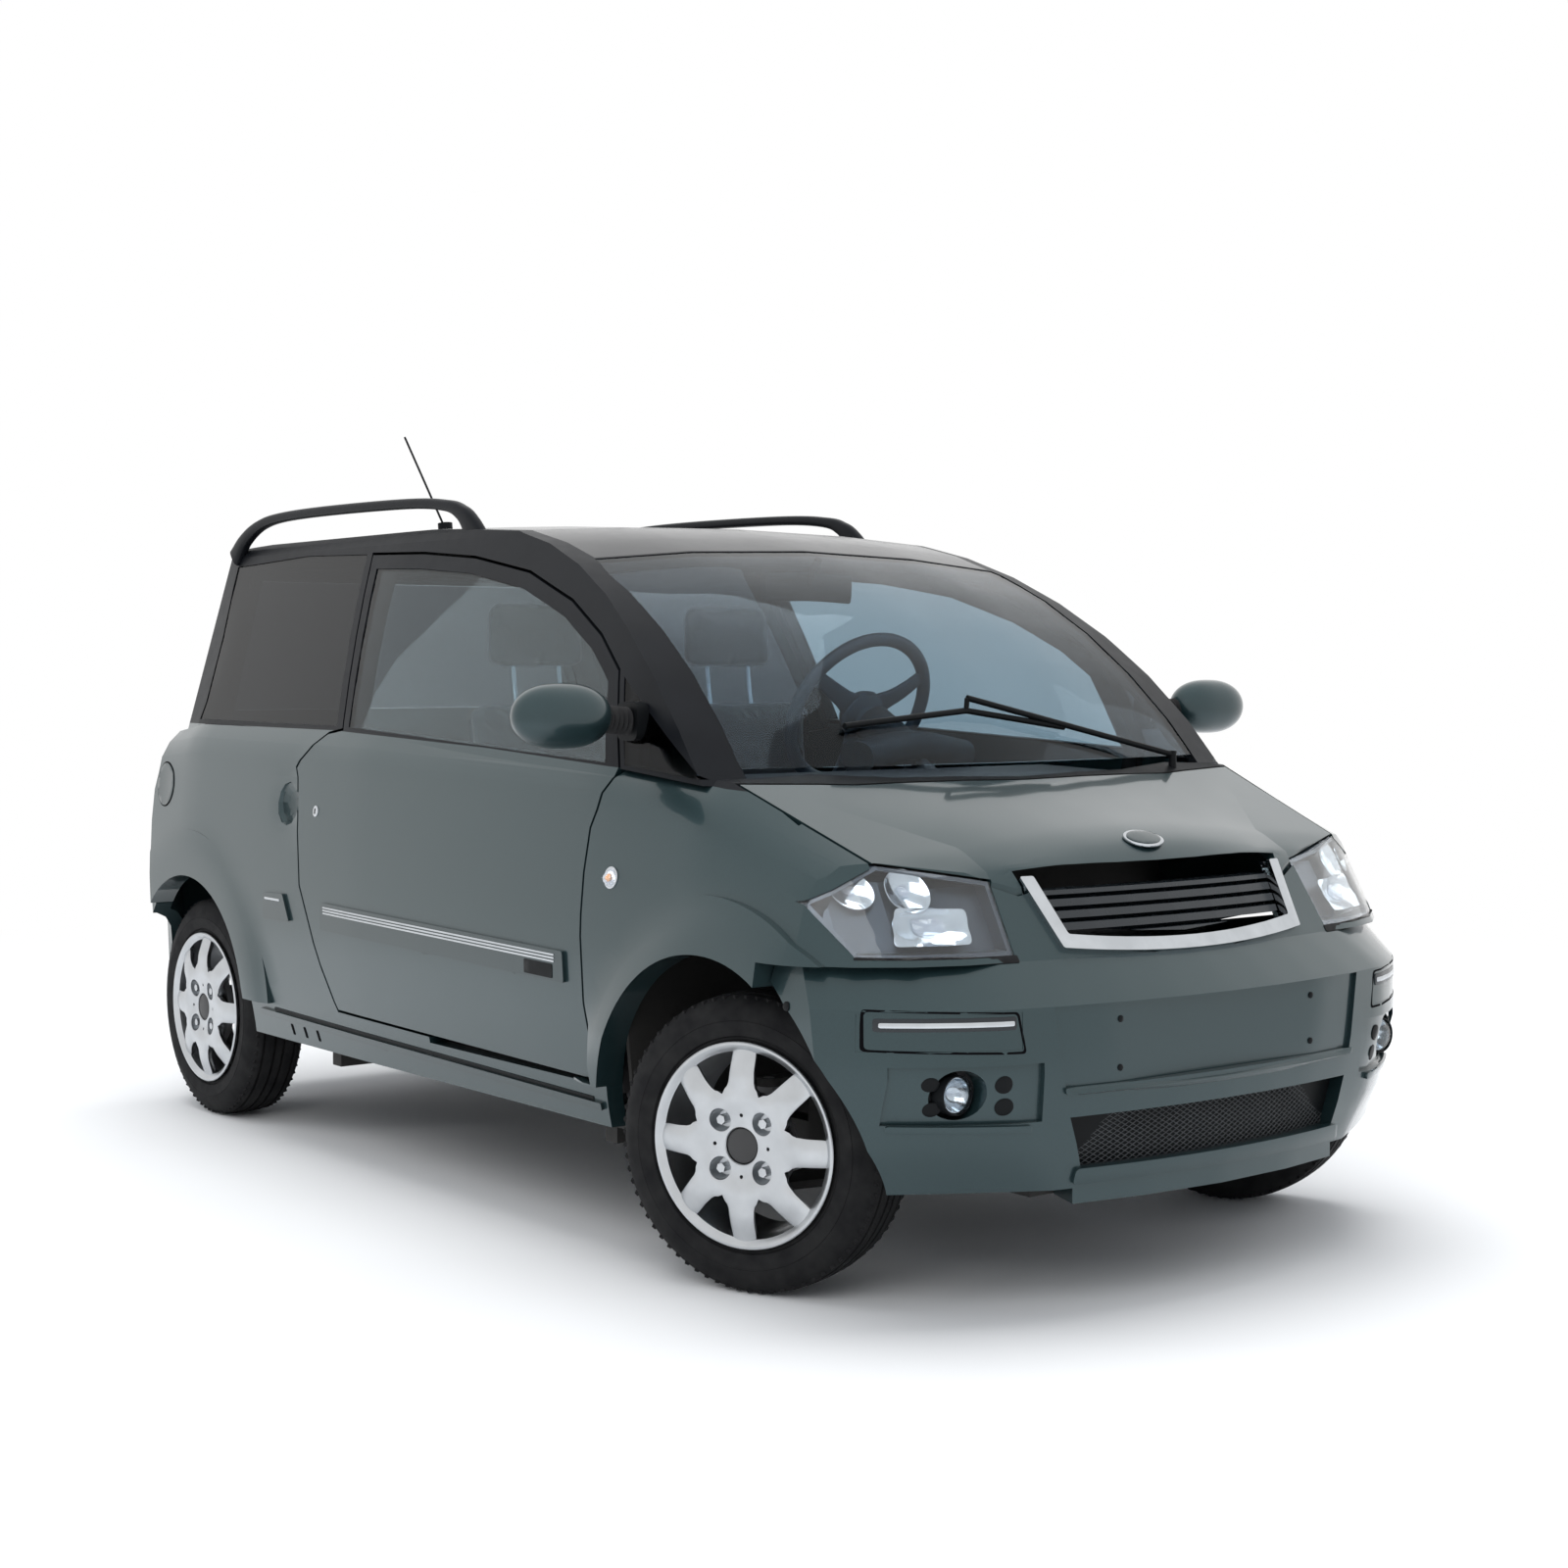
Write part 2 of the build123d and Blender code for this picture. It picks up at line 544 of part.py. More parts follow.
def body_parts():
    """Every panel, lid and pane that is cut from the body's shell."""
    parts = {}
    lower, lower_in = lower_volume(0.0), lower_volume(WALL)
    cabin, cabin_in = cabin_volume(0.0), cabin_volume(FRAME_WALL)
    outer = lower + cabin
    inner = lower_in + cabin_in
    shell = outer - inner
    seat_out = lower_volume(WALL + SEAT) + cabin_volume(FRAME_WALL + SEAT)
    seat_in = lower_volume(WALL + SEAT + FLANGE_T) + cabin_volume(FRAME_WALL + SEAT + FLANGE_T)
    pane = cabin_volume(2.0) - cabin_volume(2.0 + GLASS)

    half = GAP / 2
    door_tool = prism_y(grown(door_outline(), half), SIDE)
    door_keep = prism_y(grown(door_outline(), -half), SIDE)
    window = prism_y(window_outline(), SIDE)
    pane_edge = prism_y(grown(window_outline(), -0.3), SIDE)
    bonnet_tool = prism_z(grown(bonnet_outline(), half), SKY)
    bonnet_keep = prism_z(grown(bonnet_outline(), -half), SKY)
    bonnet_seat = prism_z(grown(bonnet_outline(), -half - FLANGE), SKY)
    gate_tool = prism_x(grown(tailgate_outline(), half), BEHIND)
    gate_keep = prism_x(grown(tailgate_outline(), -half), BEHIND)
    lamp_tool = both(prism_x([(-y, z) for y, z in LAMP], AHEAD))
    grille_tool = prism_x(grille_outline(), AHEAD)
    tail_lamp_tool = both(prism_x([(-y, z) for y, z in TAIL_LAMP], BEHIND))
    upper = prism_y(ABOVE_BELT, (-900.0, 900.0))
    roof_tool = prism_z(ROOF, (1250.0, 1500.0))
    arches = arch(FRONT_AXLE_X, FRONT_ARCH_R) + arch(REAR_AXLE_X, REAR_ARCH_R)

    # Lids and doors
    door = solid_of((shell & door_keep) - window - arches)
    parts["door_right"] = door
    parts["door_left"] = mirrored(door)
    glass = solid_of(pane & pane_edge)
    parts["door_glass_right"] = glass
    parts["door_glass_left"] = mirrored(glass)
    skin = lower - lower_volume(BONNET_WALL)
    lid = (skin & bonnet_keep) - prism_x(grown(grille_outline(), 4.0), AHEAD)
    parts["bonnet"] = solid_of(lid - both(prism_x(grown([(-y, z) for y, z in LAMP], 4.0), AHEAD)))
    gate_window = prism_x(tailgate_glass_outline(), BEHIND)
    parts["tailgate"] = solid_of((shell & gate_keep) - gate_window)
    gate_pane = prism_x(grown(tailgate_glass_outline(), -0.3), BEHIND)
    parts["tailgate_glass"] = solid_of(pane & gate_pane)

    # Frames that the lids rest on
    seat_band = seat_out - seat_in
    door_ring = seat_band & (prism_y(grown(door_outline(), FLANGE), SIDE)
                             - prism_y(grown(door_outline(), -FLANGE), SIDE))
    gate_ring = seat_band & (prism_x(grown(tailgate_outline(), FLANGE), BEHIND)
                             - prism_x(grown(tailgate_outline(), -FLANGE), BEHIND))
    door_ring = solid_of(door_ring)
    swing = block(BEHIND, (-900.0, -TAILGATE_SHELF_Y), TAILGATE_SHELF) + block(*TAILGATE_CORNER)
    gate_ring = gate_ring - both(prism_y(grown(door_outline(), FLANGE + 1), SIDE)) - both(swing)
    gate_bars = [bar for bar in gate_ring.solids() if bar.volume > SLIVER]
    parts["opening_frames"] = Compound([door_ring, mirrored(door_ring)] + gate_bars)

    # Fixed panels
    body = shell - both(door_tool) - gate_tool
    ledge = lower_volume(BONNET_WALL + SEAT)
    front = lower - inner
    front = front - (bonnet_tool - ledge) - bonnet_seat - lamp_tool
    low = body - upper
    bumper_space = (block((BUMPER_REAR_X - SEAM, 1700.0), (-900.0, 900.0), (100.0, BUMPER_TOP_Z))
                    + block((REAR_X - 100.0, -1395.0), (-900.0, 900.0), (100.0, REAR_BUMPER_TOP)))
    sill_zone = block((-1000.0, 760.0), (-900.0, 900.0), (100.0, SILL_TOP_Z))
    rear_zone = block((-1700.0, 0.0), (-900.0, 900.0), (100.0, 1600.0))
    quarter = (low & rear_zone) - arches - bumper_space - sill_zone - tail_lamp_tool
    d_pillar = (body & upper) & block((-1700.0, -1266.0), (-900.0, 900.0), (900.0, 1376.0))
    d_pillar = d_pillar - both(prism_y(grown(QUARTER_GLASS, 1.0), SIDE)) - roof_tool
    right = block((-1700.0, 0.0), (-900.0, -20.0), (100.0, 1600.0))
    panel = solid_of((quarter + d_pillar) & right)
    panel = solid_of(panel + (flare(REAR_AXLE_X, REAR_ARCH_R, lower_in) - both(door_tool)
                              - sill_zone - bumper_space - tail_lamp_tool))
    panel = solid_of(panel - Pos(*HANDLE) * egg(HANDLE_DEPTH, HANDLE_R))
    parts["quarter_panels"] = Compound([panel, mirrored(panel)])
    wing_zone = block((560.0, 1700.0), (-900.0, 0.0), (100.0, 1600.0))
    wing = (front & wing_zone) - upper - both(door_tool) - arches - sill_zone
    wing = wing - bumper_space
    wing = wing - block((500.0, 1100.0), (-620.0, 620.0), (100.0, 1600.0))
    nose_zone = block((1180.0, 1700.0), (-394.0, 394.0), (100.0, 1600.0))
    wing = solid_of(wing - nose_zone) + (flare(FRONT_AXLE_X, FRONT_ARCH_R, lower_in)
                                         - both(door_tool) - sill_zone - bumper_space - lamp_tool)
    wing = solid_of(wing)
    parts["wings"] = Compound([wing, mirrored(wing)])
    nose = (front & nose_zone) - grille_tool - bumper_space
    parts["nose_panel"] = solid_of(nose)
    sill = solid_of(((low & sill_zone) & block((-1000.0, 760.0), (-900.0, -20.0), (100.0, 400.0)))
                    - arches)
    parts["sills"] = Compound([sill, mirrored(sill)])
    rear_bumper = (lower - lower_in) & block((-1700.0, -1398.0), (-900.0, 900.0),
                                             (100.0, REAR_BUMPER_TOP))
    parts["rear_bumper"] = solid_of(rear_bumper - arches)
    scuttle_zone = block((820.0, 1020.0), (-620.0, 620.0), (700.0, 1000.0))
    scuttle = (lower - lower_in) & scuttle_zone
    parts["scuttle"] = solid_of(scuttle - bonnet_tool - cabin)

    # Upper frame, roof and fixed glass
    quarter_tool = both(prism_y(QUARTER_GLASS, SIDE))
    corner_tool = both(prism_y(CORNER_GLASS, SIDE))
    screen_outline = [(1100.0, -586.0), (875.0, -586.0), (698.0, -568.0), (530.0, -555.0),
                      (404.0, -547.0), (326.0, -530.0)]
    screen_outline = screen_outline + [(x, -y) for x, y in screen_outline[::-1]]
    screen_tool = prism_z(screen_outline, (800.0, 1500.0))
    frame = (body & upper) - quarter_tool - corner_tool - screen_tool - roof_tool
    frame = frame - block((-1700.0, -1266.0), (-900.0, 900.0), (900.0, 1376.0))
    frame = frame - bonnet_tool - (scuttle_zone & lower)
    parts["pillars"] = solid_of(frame)
    parts["roof_panel"] = solid_of((body & roof_tool) & upper)
    parts["windscreen"] = solid_of((pane & prism_z(grown(screen_outline, -0.3), (915.0, 1500.0)))
                                   - lower)
    quarter_pane = solid_of(pane & prism_y(grown(QUARTER_GLASS, -0.3), SIDE))
    corner_pane = solid_of(pane & prism_y(grown(CORNER_GLASS, -0.3), SIDE))
    parts["fixed_side_glass"] = Compound([quarter_pane, mirrored(quarter_pane), corner_pane,
                                          mirrored(corner_pane)])

    # Lamps and grille
    lamp_edge = prism_x(grown([(-y, z) for y, z in LAMP], -SEAT), AHEAD)
    lamp_inside = prism_x(grown([(-y, z) for y, z in LAMP], -8.0), AHEAD)
    lens = solid_of((lower_volume(1.0) - lower_volume(5.0)) & lamp_edge)
    parts["headlamp_lenses"] = Compound([lens, mirrored(lens)])
    housing = solid_of((lower_volume(5.3) - lower_volume(WALL)) & lamp_edge)
    housing = solid_of(housing - ((lower - lower_volume(WALL - 12.0)) & lamp_inside))
    parts["headlamps"] = Compound([housing, mirrored(housing)])
    tail_lamp = solid_of((lower - lower_in) & prism_x(grown([(-y, z) for y, z in TAIL_LAMP], -SEAT),
                                                     BEHIND) & rear_zone)
    parts["tail_lamps"] = Compound([tail_lamp, mirrored(tail_lamp)])
    rim = prism_x(grown(grille_outline(), -0.5), AHEAD) - prism_x(
        grown(grille_outline(), -GRILLE_FRAME), AHEAD)
    parts["grille_frame"] = solid_of((lower_volume(-8.0) - lower_volume(30.0)) & rim)
    field = prism_x(grown(grille_outline(), -GRILLE_FRAME - 0.3), AHEAD)
    slats = (lower_volume(34.0) - lower_volume(WALL)) & field
    (yt, zt), (yb, zb) = GRILLE_TOP, GRILLE_BOTTOM
    pitch = (zt - zb) / SLATS
    for i in range(SLATS):
        z = zb + pitch * (i + 0.25)
        bar = block(AHEAD, (-yt, yt), (z, z + pitch * 0.62))
        slats = slats + ((lower_volume(10.0) - lower_volume(36.0)) & field & bar)
    parts["grille"] = solid_of(slats & lower_volume(10.0))
    return parts


# Bumpers, trim and roof

def front_bumper_parts():
    """The front bumper with its recesses, its mesh, inserts and fog lamps."""
    shell = bumper_volume(0.0) - bumper_volume(BUMPER_WALL)
    pocket = prism_x(trapezium(PLATE_TOP, PLATE_BOTTOM), (1300.0, 1700.0))
    seat = block((1300.0, PLATE_X), (-900.0, 900.0), (100.0, 700.0))
    recess = (pocket - seat) + (pocket - bumper_volume(PLATE_EDGE_DEPTH))
    holes = [rod((1400.0, sy * PLATE_HOLE_Y, z), (1560.0, sy * PLATE_HOLE_Y, z), PLATE_HOLE_R)
             for sy in (-1, 1) for z in PLATE_HOLE_Z]
    mesh_hole = prism_x(trapezium(MESH_TOP, MESH_BOTTOM), (1300.0, 1700.0))
    fog_hole = rod((1300.0, -FOG_Y, FOG_Z), (1600.0, -FOG_Y, FOG_Z), FOG_HOLE_R)
    fog_pocket = both(block((1200.0, 1700.0), (-FOG_POCKET_Y[1], -FOG_POCKET_Y[0]), FOG_POCKET_Z))
    fog_pocket = fog_pocket - bumper_volume(FOG_POCKET_DEPTH)
    (y0, y1), (z0, z1) = INSERT_Y, INSERT_Z
    insert_zone = block((1240.0, 1700.0), (y0, 900.0), (z0, z1)) - block(
        (1200.0, 1330.0), (y0, 900.0), (z0, z1))
    insert_zone = insert_zone + mirrored(insert_zone)
    groove = insert_zone - bumper_volume(8.0)
    arches = arch(FRONT_AXLE_X, FRONT_ARCH_R + 8.0)
    lip = prism_z(LIP + [(x, -y) for x, y in LIP[-2::-1]], LIP_Z)
    bumper = (shell + lip) - recess - mesh_hole - groove - fog_pocket - both(fog_hole) - arches
    for hole in holes:
        bumper = bumper - hole
    backing = (bumper_volume(BUMPER_WALL - 10.0) - bumper_volume(BUMPER_WALL)) & mesh_hole
    insert = (bumper_volume(1.0) - bumper_volume(8.0)) & insert_zone
    insert = solid_of(insert & block((1200.0, 1700.0), (-900.0, 0.0), (100.0, 700.0)))
    lamp = rod((FOG_X[0], -FOG_Y, FOG_Z), (FOG_X[1], -FOG_Y, FOG_Z), FOG_R)
    collar = rod((FOG_X[0], -FOG_Y, FOG_Z), (FOG_X[0] + 12.0, -FOG_Y, FOG_Z), FOG_HOLE_R - SEAT)
    lamp = solid_of(lamp + collar)
    return {
        "front_bumper": solid_of(bumper),
        "lower_grille": solid_of(backing),
        "bumper_inserts": Compound([insert, mirrored(insert)]),
        "fog_lamps": Compound([lamp, mirrored(lamp)]),
    }


# Roof rail seen from the side (x, z): the outer line, then the inner line
RAIL_OUTER = [(-72.0, 1350.0), (-118.0, 1404.0), (-170.0, 1438.0), (-250.0, 1459.0),
              (-430.0, 1471.0), (-800.0, 1475.0), (-1060.0, 1471.0), (-1190.0, 1456.0),
              (-1290.0, 1418.0), (-1352.0, 1370.0)]
RAIL_INNER = [(-1290.0, 1370.0), (-1240.0, 1408.0), (-1165.0, 1434.0), (-1050.0, 1448.0),
              (-800.0, 1452.0), (-430.0, 1448.0), (-272.0, 1436.0), (-214.0, 1410.0),
              (-182.0, 1350.0)]
RAIL_AT_Y = (-541.0, -512.0)
AERIAL_FOOT = (-610.0, -330.0)
MIRROR = (690.0, -842.0, 1010.0)
EGG_RINGS = (-0.985, -0.85, -0.45, 0.0, 0.45, 0.85, 0.985)
EGG_SIDES = 12
MIRROR_HALF_W = 100.0
MIRROR_HALF_H = 58.0
MIRROR_FACE = 28.0          # how far the glass lies behind the middle
MIRROR_DEPTH = 50.0         # how far the shell reaches ahead of the middle


def roof_parts():
    """Roof rails and the aerial, seated on the roof."""
    cabin = cabin_volume(0.0)
    rail = solid_of(prism_y(RAIL_OUTER + RAIL_INNER, RAIL_AT_Y) - cabin)
    x, y = AERIAL_FOOT
    base = rod((x, y, 1390.0), (x - 6.0, y, 1432.0), 17.0) - cabin
    mast = rod((x - 6.0, y, 1420.0), (x - 195.0, y, 1645.0), 2.6) - cabin
    return {"roof_rails": Compound([rail, mirrored(rail)]), "aerial": solid_of(base + mast)}


def mirror_parts():
    """Door mirrors: a rounded shell on a stalk, and a glass that faces the rear."""
    x, y, z = MIRROR
    long, tall, face = MIRROR_HALF_W, MIRROR_HALF_H, MIRROR_FACE
    shell = Pos(x, y, z) * egg(long, tall)
    back = block((x - 200.0, x - face), (y - 200.0, y + 200.0), (z - 200.0, z + 200.0))
    front = block((x + MIRROR_DEPTH, x + 200.0), (y - 200.0, y + 200.0), (z - 200.0, z + 200.0))
    housing = shell - back - front
    recess = Pos(x, y, z) * egg(long - 14.0, tall - 9.0)
    recess = recess & block((x - face - 1.0, x - face + 12.0), (y - 200.0, y + 200.0),
                            (z - 200.0, z + 200.0))
    stalk = rod((x + 6.0, y + long - 25.0, z - 4.0), (x - 14.0, -664.0, z - 12.0), 21.0)
    housing = solid_of(housing - recess + (stalk - cabin_volume(0.0) - recess))
    glass = solid_of(recess & block((x - face + 5.0, x - face + 12.0), (y - 200.0, y + 200.0),
                                    (z - 200.0, z + 200.0)))
    return {"mirrors": Compound([housing, mirrored(housing)]),
            "mirror_glasses": Compound([glass, mirrored(glass)])}


def egg(half_length, radius):
    """A rounded solid about the Y axis, fullest in the middle, from rings with flat sides."""
    sections = []
    for share in EGG_RINGS:
        y = half_length * share
        ring = [(x, y, z) for x, z in polygon(0.0, 0.0, radius * sqrt(1 - share ** 2), EGG_SIDES)]
        sections.append(Wire([Line(p, q) for p, q in zip(ring, ring[1:] + ring[:1])]))
    return Solid.make_loft(sections, True)


def arc_centre(a, b, c):
    """Centre and radius of the circle through three (x, z) points."""
    d = 2 * (a[0] * (b[1] - c[1]) + b[0] * (c[1] - a[1]) + c[0] * (a[1] - b[1]))
    sa, sb, sc = (p[0] ** 2 + p[1] ** 2 for p in (a, b, c))
    x = (sa * (b[1] - c[1]) + sb * (c[1] - a[1]) + sc * (a[1] - b[1])) / d
    z = (sa * (c[0] - b[0]) + sb * (a[0] - c[0]) + sc * (b[0] - a[0])) / d
    return x, z, sqrt((a[0] - x) ** 2 + (a[1] - z) ** 2)


def on_screen(y, z, off):
    """A point a little way ahead of the windscreen."""
    xs = []
    for row in CABIN_PROFILES:
        edge, fx, mx, mz, sx, sz = row[:6]
        cx, cz, r = arc_centre((fx, CABIN_FOOT_Z), (mx, mz), (sx, sz))
        xs.append(cx + sqrt(r * r - (z - cz) ** 2))
    share = (y / CABIN_PROFILES[0][0]) ** 2
    return (xs[1] + (xs[0] - xs[1]) * share + off, y, z + off * 0.8)


def wiper_part():
    """The single wiper, parked along the foot of the screen."""
    pivot = on_screen(462.0, 905.0, 18.0)
    tip = on_screen(-45.0, 1022.0, 20.0)
    arm = rod(pivot, tip, 6.0)
    left, middle, right = (on_screen(y, z, 4.5) for y, z in ((-345.0, 985.0), (-45.0, 1010.0),
                                                            (190.0, 975.0)))
    blade = rod(left, middle, 6.0) + rod(middle, right, 6.0)
    link = rod(tip, (middle[0], middle[1], middle[2]), 5.0)
    boss = rod((pivot[0], pivot[1], pivot[2] - 60.0), (pivot[0], pivot[1], pivot[2] + 8.0), 8.0)
    whole = (arm + blade + link + boss) - cabin_volume(2.0 - SEAT)
    return {"wiper": solid_of(whole - lower_volume(-SEAT))}


# Wheels and running gear

def tyre_solid():
    """A tyre about the Y axis, outer side towards -Y, hub at the origin."""
    w = TYRE_W / 2
    bead = RIM_WELL_R + SEAT
    section = Polyline((bead, -w + 14.0), (RIM_R + 6.0, -w + 5.0), (225.0, -w),
                       (TYRE_R, -w + 25.0), (TYRE_R, w - 25.0), (225.0, w),
                       (RIM_R + 6.0, w - 5.0), (bead, w - 14.0), close=True)
    return turned(section)


def turned(section):
    """A closed (radius, along) outline revolved about the Y axis."""
    face = make_face(section)
    return revolve(face, Axis.Y, 360.0)


def spoke_window(k):
    """The opening between two spokes, as an (x, z) outline."""
    middle = radians(360.0 / SPOKES * (k + 0.5))
    half = radians(180.0 / SPOKES)
    ring = WINDOW_R[1]
    side = asin(SPOKE_HALF_W / ring)
    root = WINDOW_R[0]
    points = []
    for r, off in ((root, 0.0), (root + 3.0, 0.10), (root + 14.0, half - asin(
            SPOKE_HALF_W / (root + 14.0))), (ring, half - side)):
        points.append((r, off))
    outline = points + [(r, -off) for r, off in points[:0:-1]]
    return [(r * cos(middle + off), r * sin(middle + off)) for r, off in outline]


def rim_solid():
    """A wheel: barrel, flange and a disc of eight spokes between open windows."""
    w = TYRE_W / 2
    r, well = RIM_R, RIM_WELL_R
    barrel = turned(Polyline((well, -w + 10.0), (r, -w + 4.0), (r, -w - 3.0), (well - 5.0, -w + 8.0),
                             (well - 5.0, w - 12.0), (r, w - 3.0), (well, w - 10.0), close=True))
    disc = rod((0, -w - 3.0, 0), (0, -w + 14.0, 0), well - 4.0)
    hub = rod((0, -w - 6.0, 0), (0, -w + 40.0, 0), HUB_R)
    disc = disc + hub
    for k in range(SPOKES):
        disc = disc - prism_y(spoke_window(k), (-w - 20.0, w))
    for i in range(4):
        turn = radians(45.0 + 90.0 * i)
        x, z = NUT_CIRCLE_R * cos(turn), NUT_CIRCLE_R * sin(turn)
        disc = disc - prism_y(polygon(x, z, NUT_WELL_R, 10), (-w - 20.0, -w + 6.0))
    bore = rod((0, -w + 15.0, 0), (0, w, 0), SPINDLE_R + SPINDLE_FIT)
    return solid_of((barrel + disc) - bore)


def wheel_place(x, side, steered):
    """Where a wheel built at the origin goes. side is -1 on the right and 1 on the left."""
    middle = WHEEL_FACE_Y - TYRE_W / 2
    place = Pos(x, side * middle, TYRE_R)
    if steered:
        out = middle - KINGPIN_Y
        place = Pos(x, side * KINGPIN_Y, TYRE_R) * Rot(0, 0, STEER_REST) * Pos(0, side * out, 0)
    flip = Rot(0, 0, 180.0) if side > 0 else Rot(0, 0, 0)
    return place * flip


def knuckle_solid(side):
    """The upright that turns about the kingpin, with the spindle that carries the wheel."""
    (z0, z1) = KINGPIN_Z
    inner = -(WHEEL_FACE_Y - TYRE_W / 2 - KINGPIN_Y)
    post = block((-16.0, 16.0), (-14.0, 14.0),
                 (z0 + ARM_T + SEAT - TYRE_R, z1 - ARM_T - SEAT - TYRE_R))
    pins = rod((0, 0, z0 - TYRE_R), (0, 0, z1 - TYRE_R), KINGPIN_R)
    w = TYRE_W / 2
    spindle = rod((0, 10.0, 0), (0, inner - w + 17.0, 0), SPINDLE_R)
    drum = rod((0, -14.0, 0), (0, inner - w + 44.0, 0), 46.0)
    arm = block((-110.0, -10.0), (-2.0, 12.0), (-40.0, -26.0))
    solid = post + pins + spindle + drum + arm
    if side > 0:
        solid = mirror(solid, about=Plane.XZ)
    return Pos(FRONT_AXLE_X, side * KINGPIN_Y, TYRE_R) * Rot(0, 0, STEER_REST) * solid


def front_suspension():
    """Upper and lower arms with an eye round the knuckle's pins, a tower and a strut."""
    (z0, z1) = KINGPIN_Z
    x, y = FRONT_AXLE_X, -KINGPIN_Y
    bore = rod((x, y, z0 - 20.0), (x, y, z1 + 20.0), KINGPIN_R + SPINDLE_FIT)
    rail_y = -RAIL_Y - RAIL_W / 2
    low = rod((x, y, z0), (x, y, z0 + ARM_T), 22.0)
    low = low + prism_z([(x - 110.0, rail_y), (x + 60.0, rail_y), (x + 16.0, y), (x - 16.0, y)],
                        (z0, z0 + ARM_T))
    low = low + block((x - 120.0, x + 70.0), (rail_y - 14.0, rail_y), (z0, RAIL_Z[1]))
    high = rod((x, y, z1 - ARM_T), (x, y, z1), 22.0)
    high = high + prism_z([(x - 34.0, TOWER_Y), (x + 34.0, TOWER_Y), (x + 16.0, y),
                           (x - 16.0, y)], (z1 - ARM_T, z1))
    tower = block((x - 40.0, x + 40.0), (TOWER_Y, TOWER_Y + ARM_T), (RAIL_Z[1], TOWER_TOP_Z))
    cap = block((x - 40.0, x + 40.0), (TOWER_Y, TOWER_Y + 90.0),
                (TOWER_TOP_Z - ARM_T, TOWER_TOP_Z))
    foot = block((x - 40.0, x + 40.0), (TOWER_Y, rail_y + RAIL_W), (RAIL_Z[1], RAIL_Z[1] + ARM_T))
    strut = rod((x, TOWER_Y + 45.0, z0 + 4.0), (x, TOWER_Y + 45.0, TOWER_TOP_Z - 2.0), 24.0)
    side = solid_of((low + high + tower + cap + foot + strut) - bore)
    return Compound([side, mirrored(side)])


def rear_axle():
    """A beam between the rear wheels, with spindles and trailing arms."""
    x, z = REAR_AXLE_X, TYRE_R
    inner = WHEEL_FACE_Y - TYRE_W
    beam = rod((x, -inner + 24.0, z), (x, inner - 24.0, z), BEAM_R)
    spindle = rod((x, -inner - 130.0, z), (x, inner + 130.0, z), SPINDLE_R)
    drums = both(rod((x, -inner - 104.0, z), (x, -inner + 30.0, z), DRUM_R))
    arms = [block((x - 20.0, x + 390.0), (s * RAIL_Y - 18.0, s * RAIL_Y + 18.0),
                  (RAIL_Z[1], RAIL_Z[1] + 36.0)) for s in (-1, 1)]
    solid = beam + spindle + drums
    for one in arms:
        solid = solid + one
    return solid_of(solid)


def chassis_parts():
    """Rails, floor, bulkhead, engine and exhaust."""
    z0, z1 = RAIL_Z
    inner_y, outer_y = RAIL_Y - RAIL_W / 2, RAIL_Y + RAIL_W / 2
    bars = [block((-1440.0, 1400.0), (s * RAIL_Y - RAIL_W / 2, s * RAIL_Y + RAIL_W / 2), (z0, z1))
            for s in (-1, 1)]
    bars += [block((x - 20.0, x + 20.0), (-inner_y + SEAT, inner_y - SEAT), (z0, z1))
             for x in CROSSMEMBERS]
    for x in OUTRIGGERS:
        one = block((x - 20.0, x + 20.0), (-OUTRIGGER_Y, -outer_y - SEAT), (z0, z1))
        bars += [one, mirrored(one)]
    inside = lower_volume(WALL)
    half = 720.0
    deck_z, box_z, box_y, step_x = 470.0, 610.0, 458.0, -760.0
    tail_x = -1440.0
    pan = block((step_x, BULKHEAD_X), (-half, half), (z1, z1 + FLOOR_T))
    pan = pan + block((step_x - FLOOR_T, step_x), (-half, half), (z1, deck_z + FLOOR_T))
    pan = pan + block((tail_x, step_x), (-box_y, box_y), (deck_z, deck_z + FLOOR_T))
    for s in (-1, 1):
        wall = sorted((s * box_y, s * (box_y + FLOOR_T)))
        top = sorted((s * box_y, s * half))
        pan = pan + block((tail_x, step_x), wall, (z1, box_z + FLOOR_T))
        pan = pan + block((tail_x, step_x), top, (box_z, box_z + FLOOR_T))
        pan = pan + block((step_x - FLOOR_T, step_x), top, (z1, box_z + FLOOR_T))
    pan = pan + block((BULKHEAD_X, BULKHEAD_X + BULKHEAD_T), (-half, half), (z1, DASH_SHELF_Z))
    pan = pan & inside
    pan = pan - rod((REAR_AXLE_X, -half, TYRE_R), (REAR_AXLE_X, half, TYRE_R), 54.0)
    engine = block(ENGINE_X, (-ENGINE_Y, ENGINE_Y), ENGINE_Z)
    pipe = rod((-1500.0, 250.0, 170.0), (560.0, 250.0, 170.0), 19.0)
    silencer = rod((-1330.0, 250.0, 170.0), (-960.0, 250.0, 170.0), 48.0)
    hangers = [block((x - 12.0, x + 12.0), (238.0, 262.0), (170.0, z0 + 2.0))
               for x in (-1420.0, -700.0, 0.0)]
    exhaust = pipe + silencer
    for one in hangers:
        exhaust = exhaust + one
    for bar in bars:
        exhaust = exhaust - bar
    return {"chassis_frame": Compound(bars), "floor_pan": solid_of(pan),
            "engine_block": engine, "exhaust": solid_of(exhaust)}


# Cabin

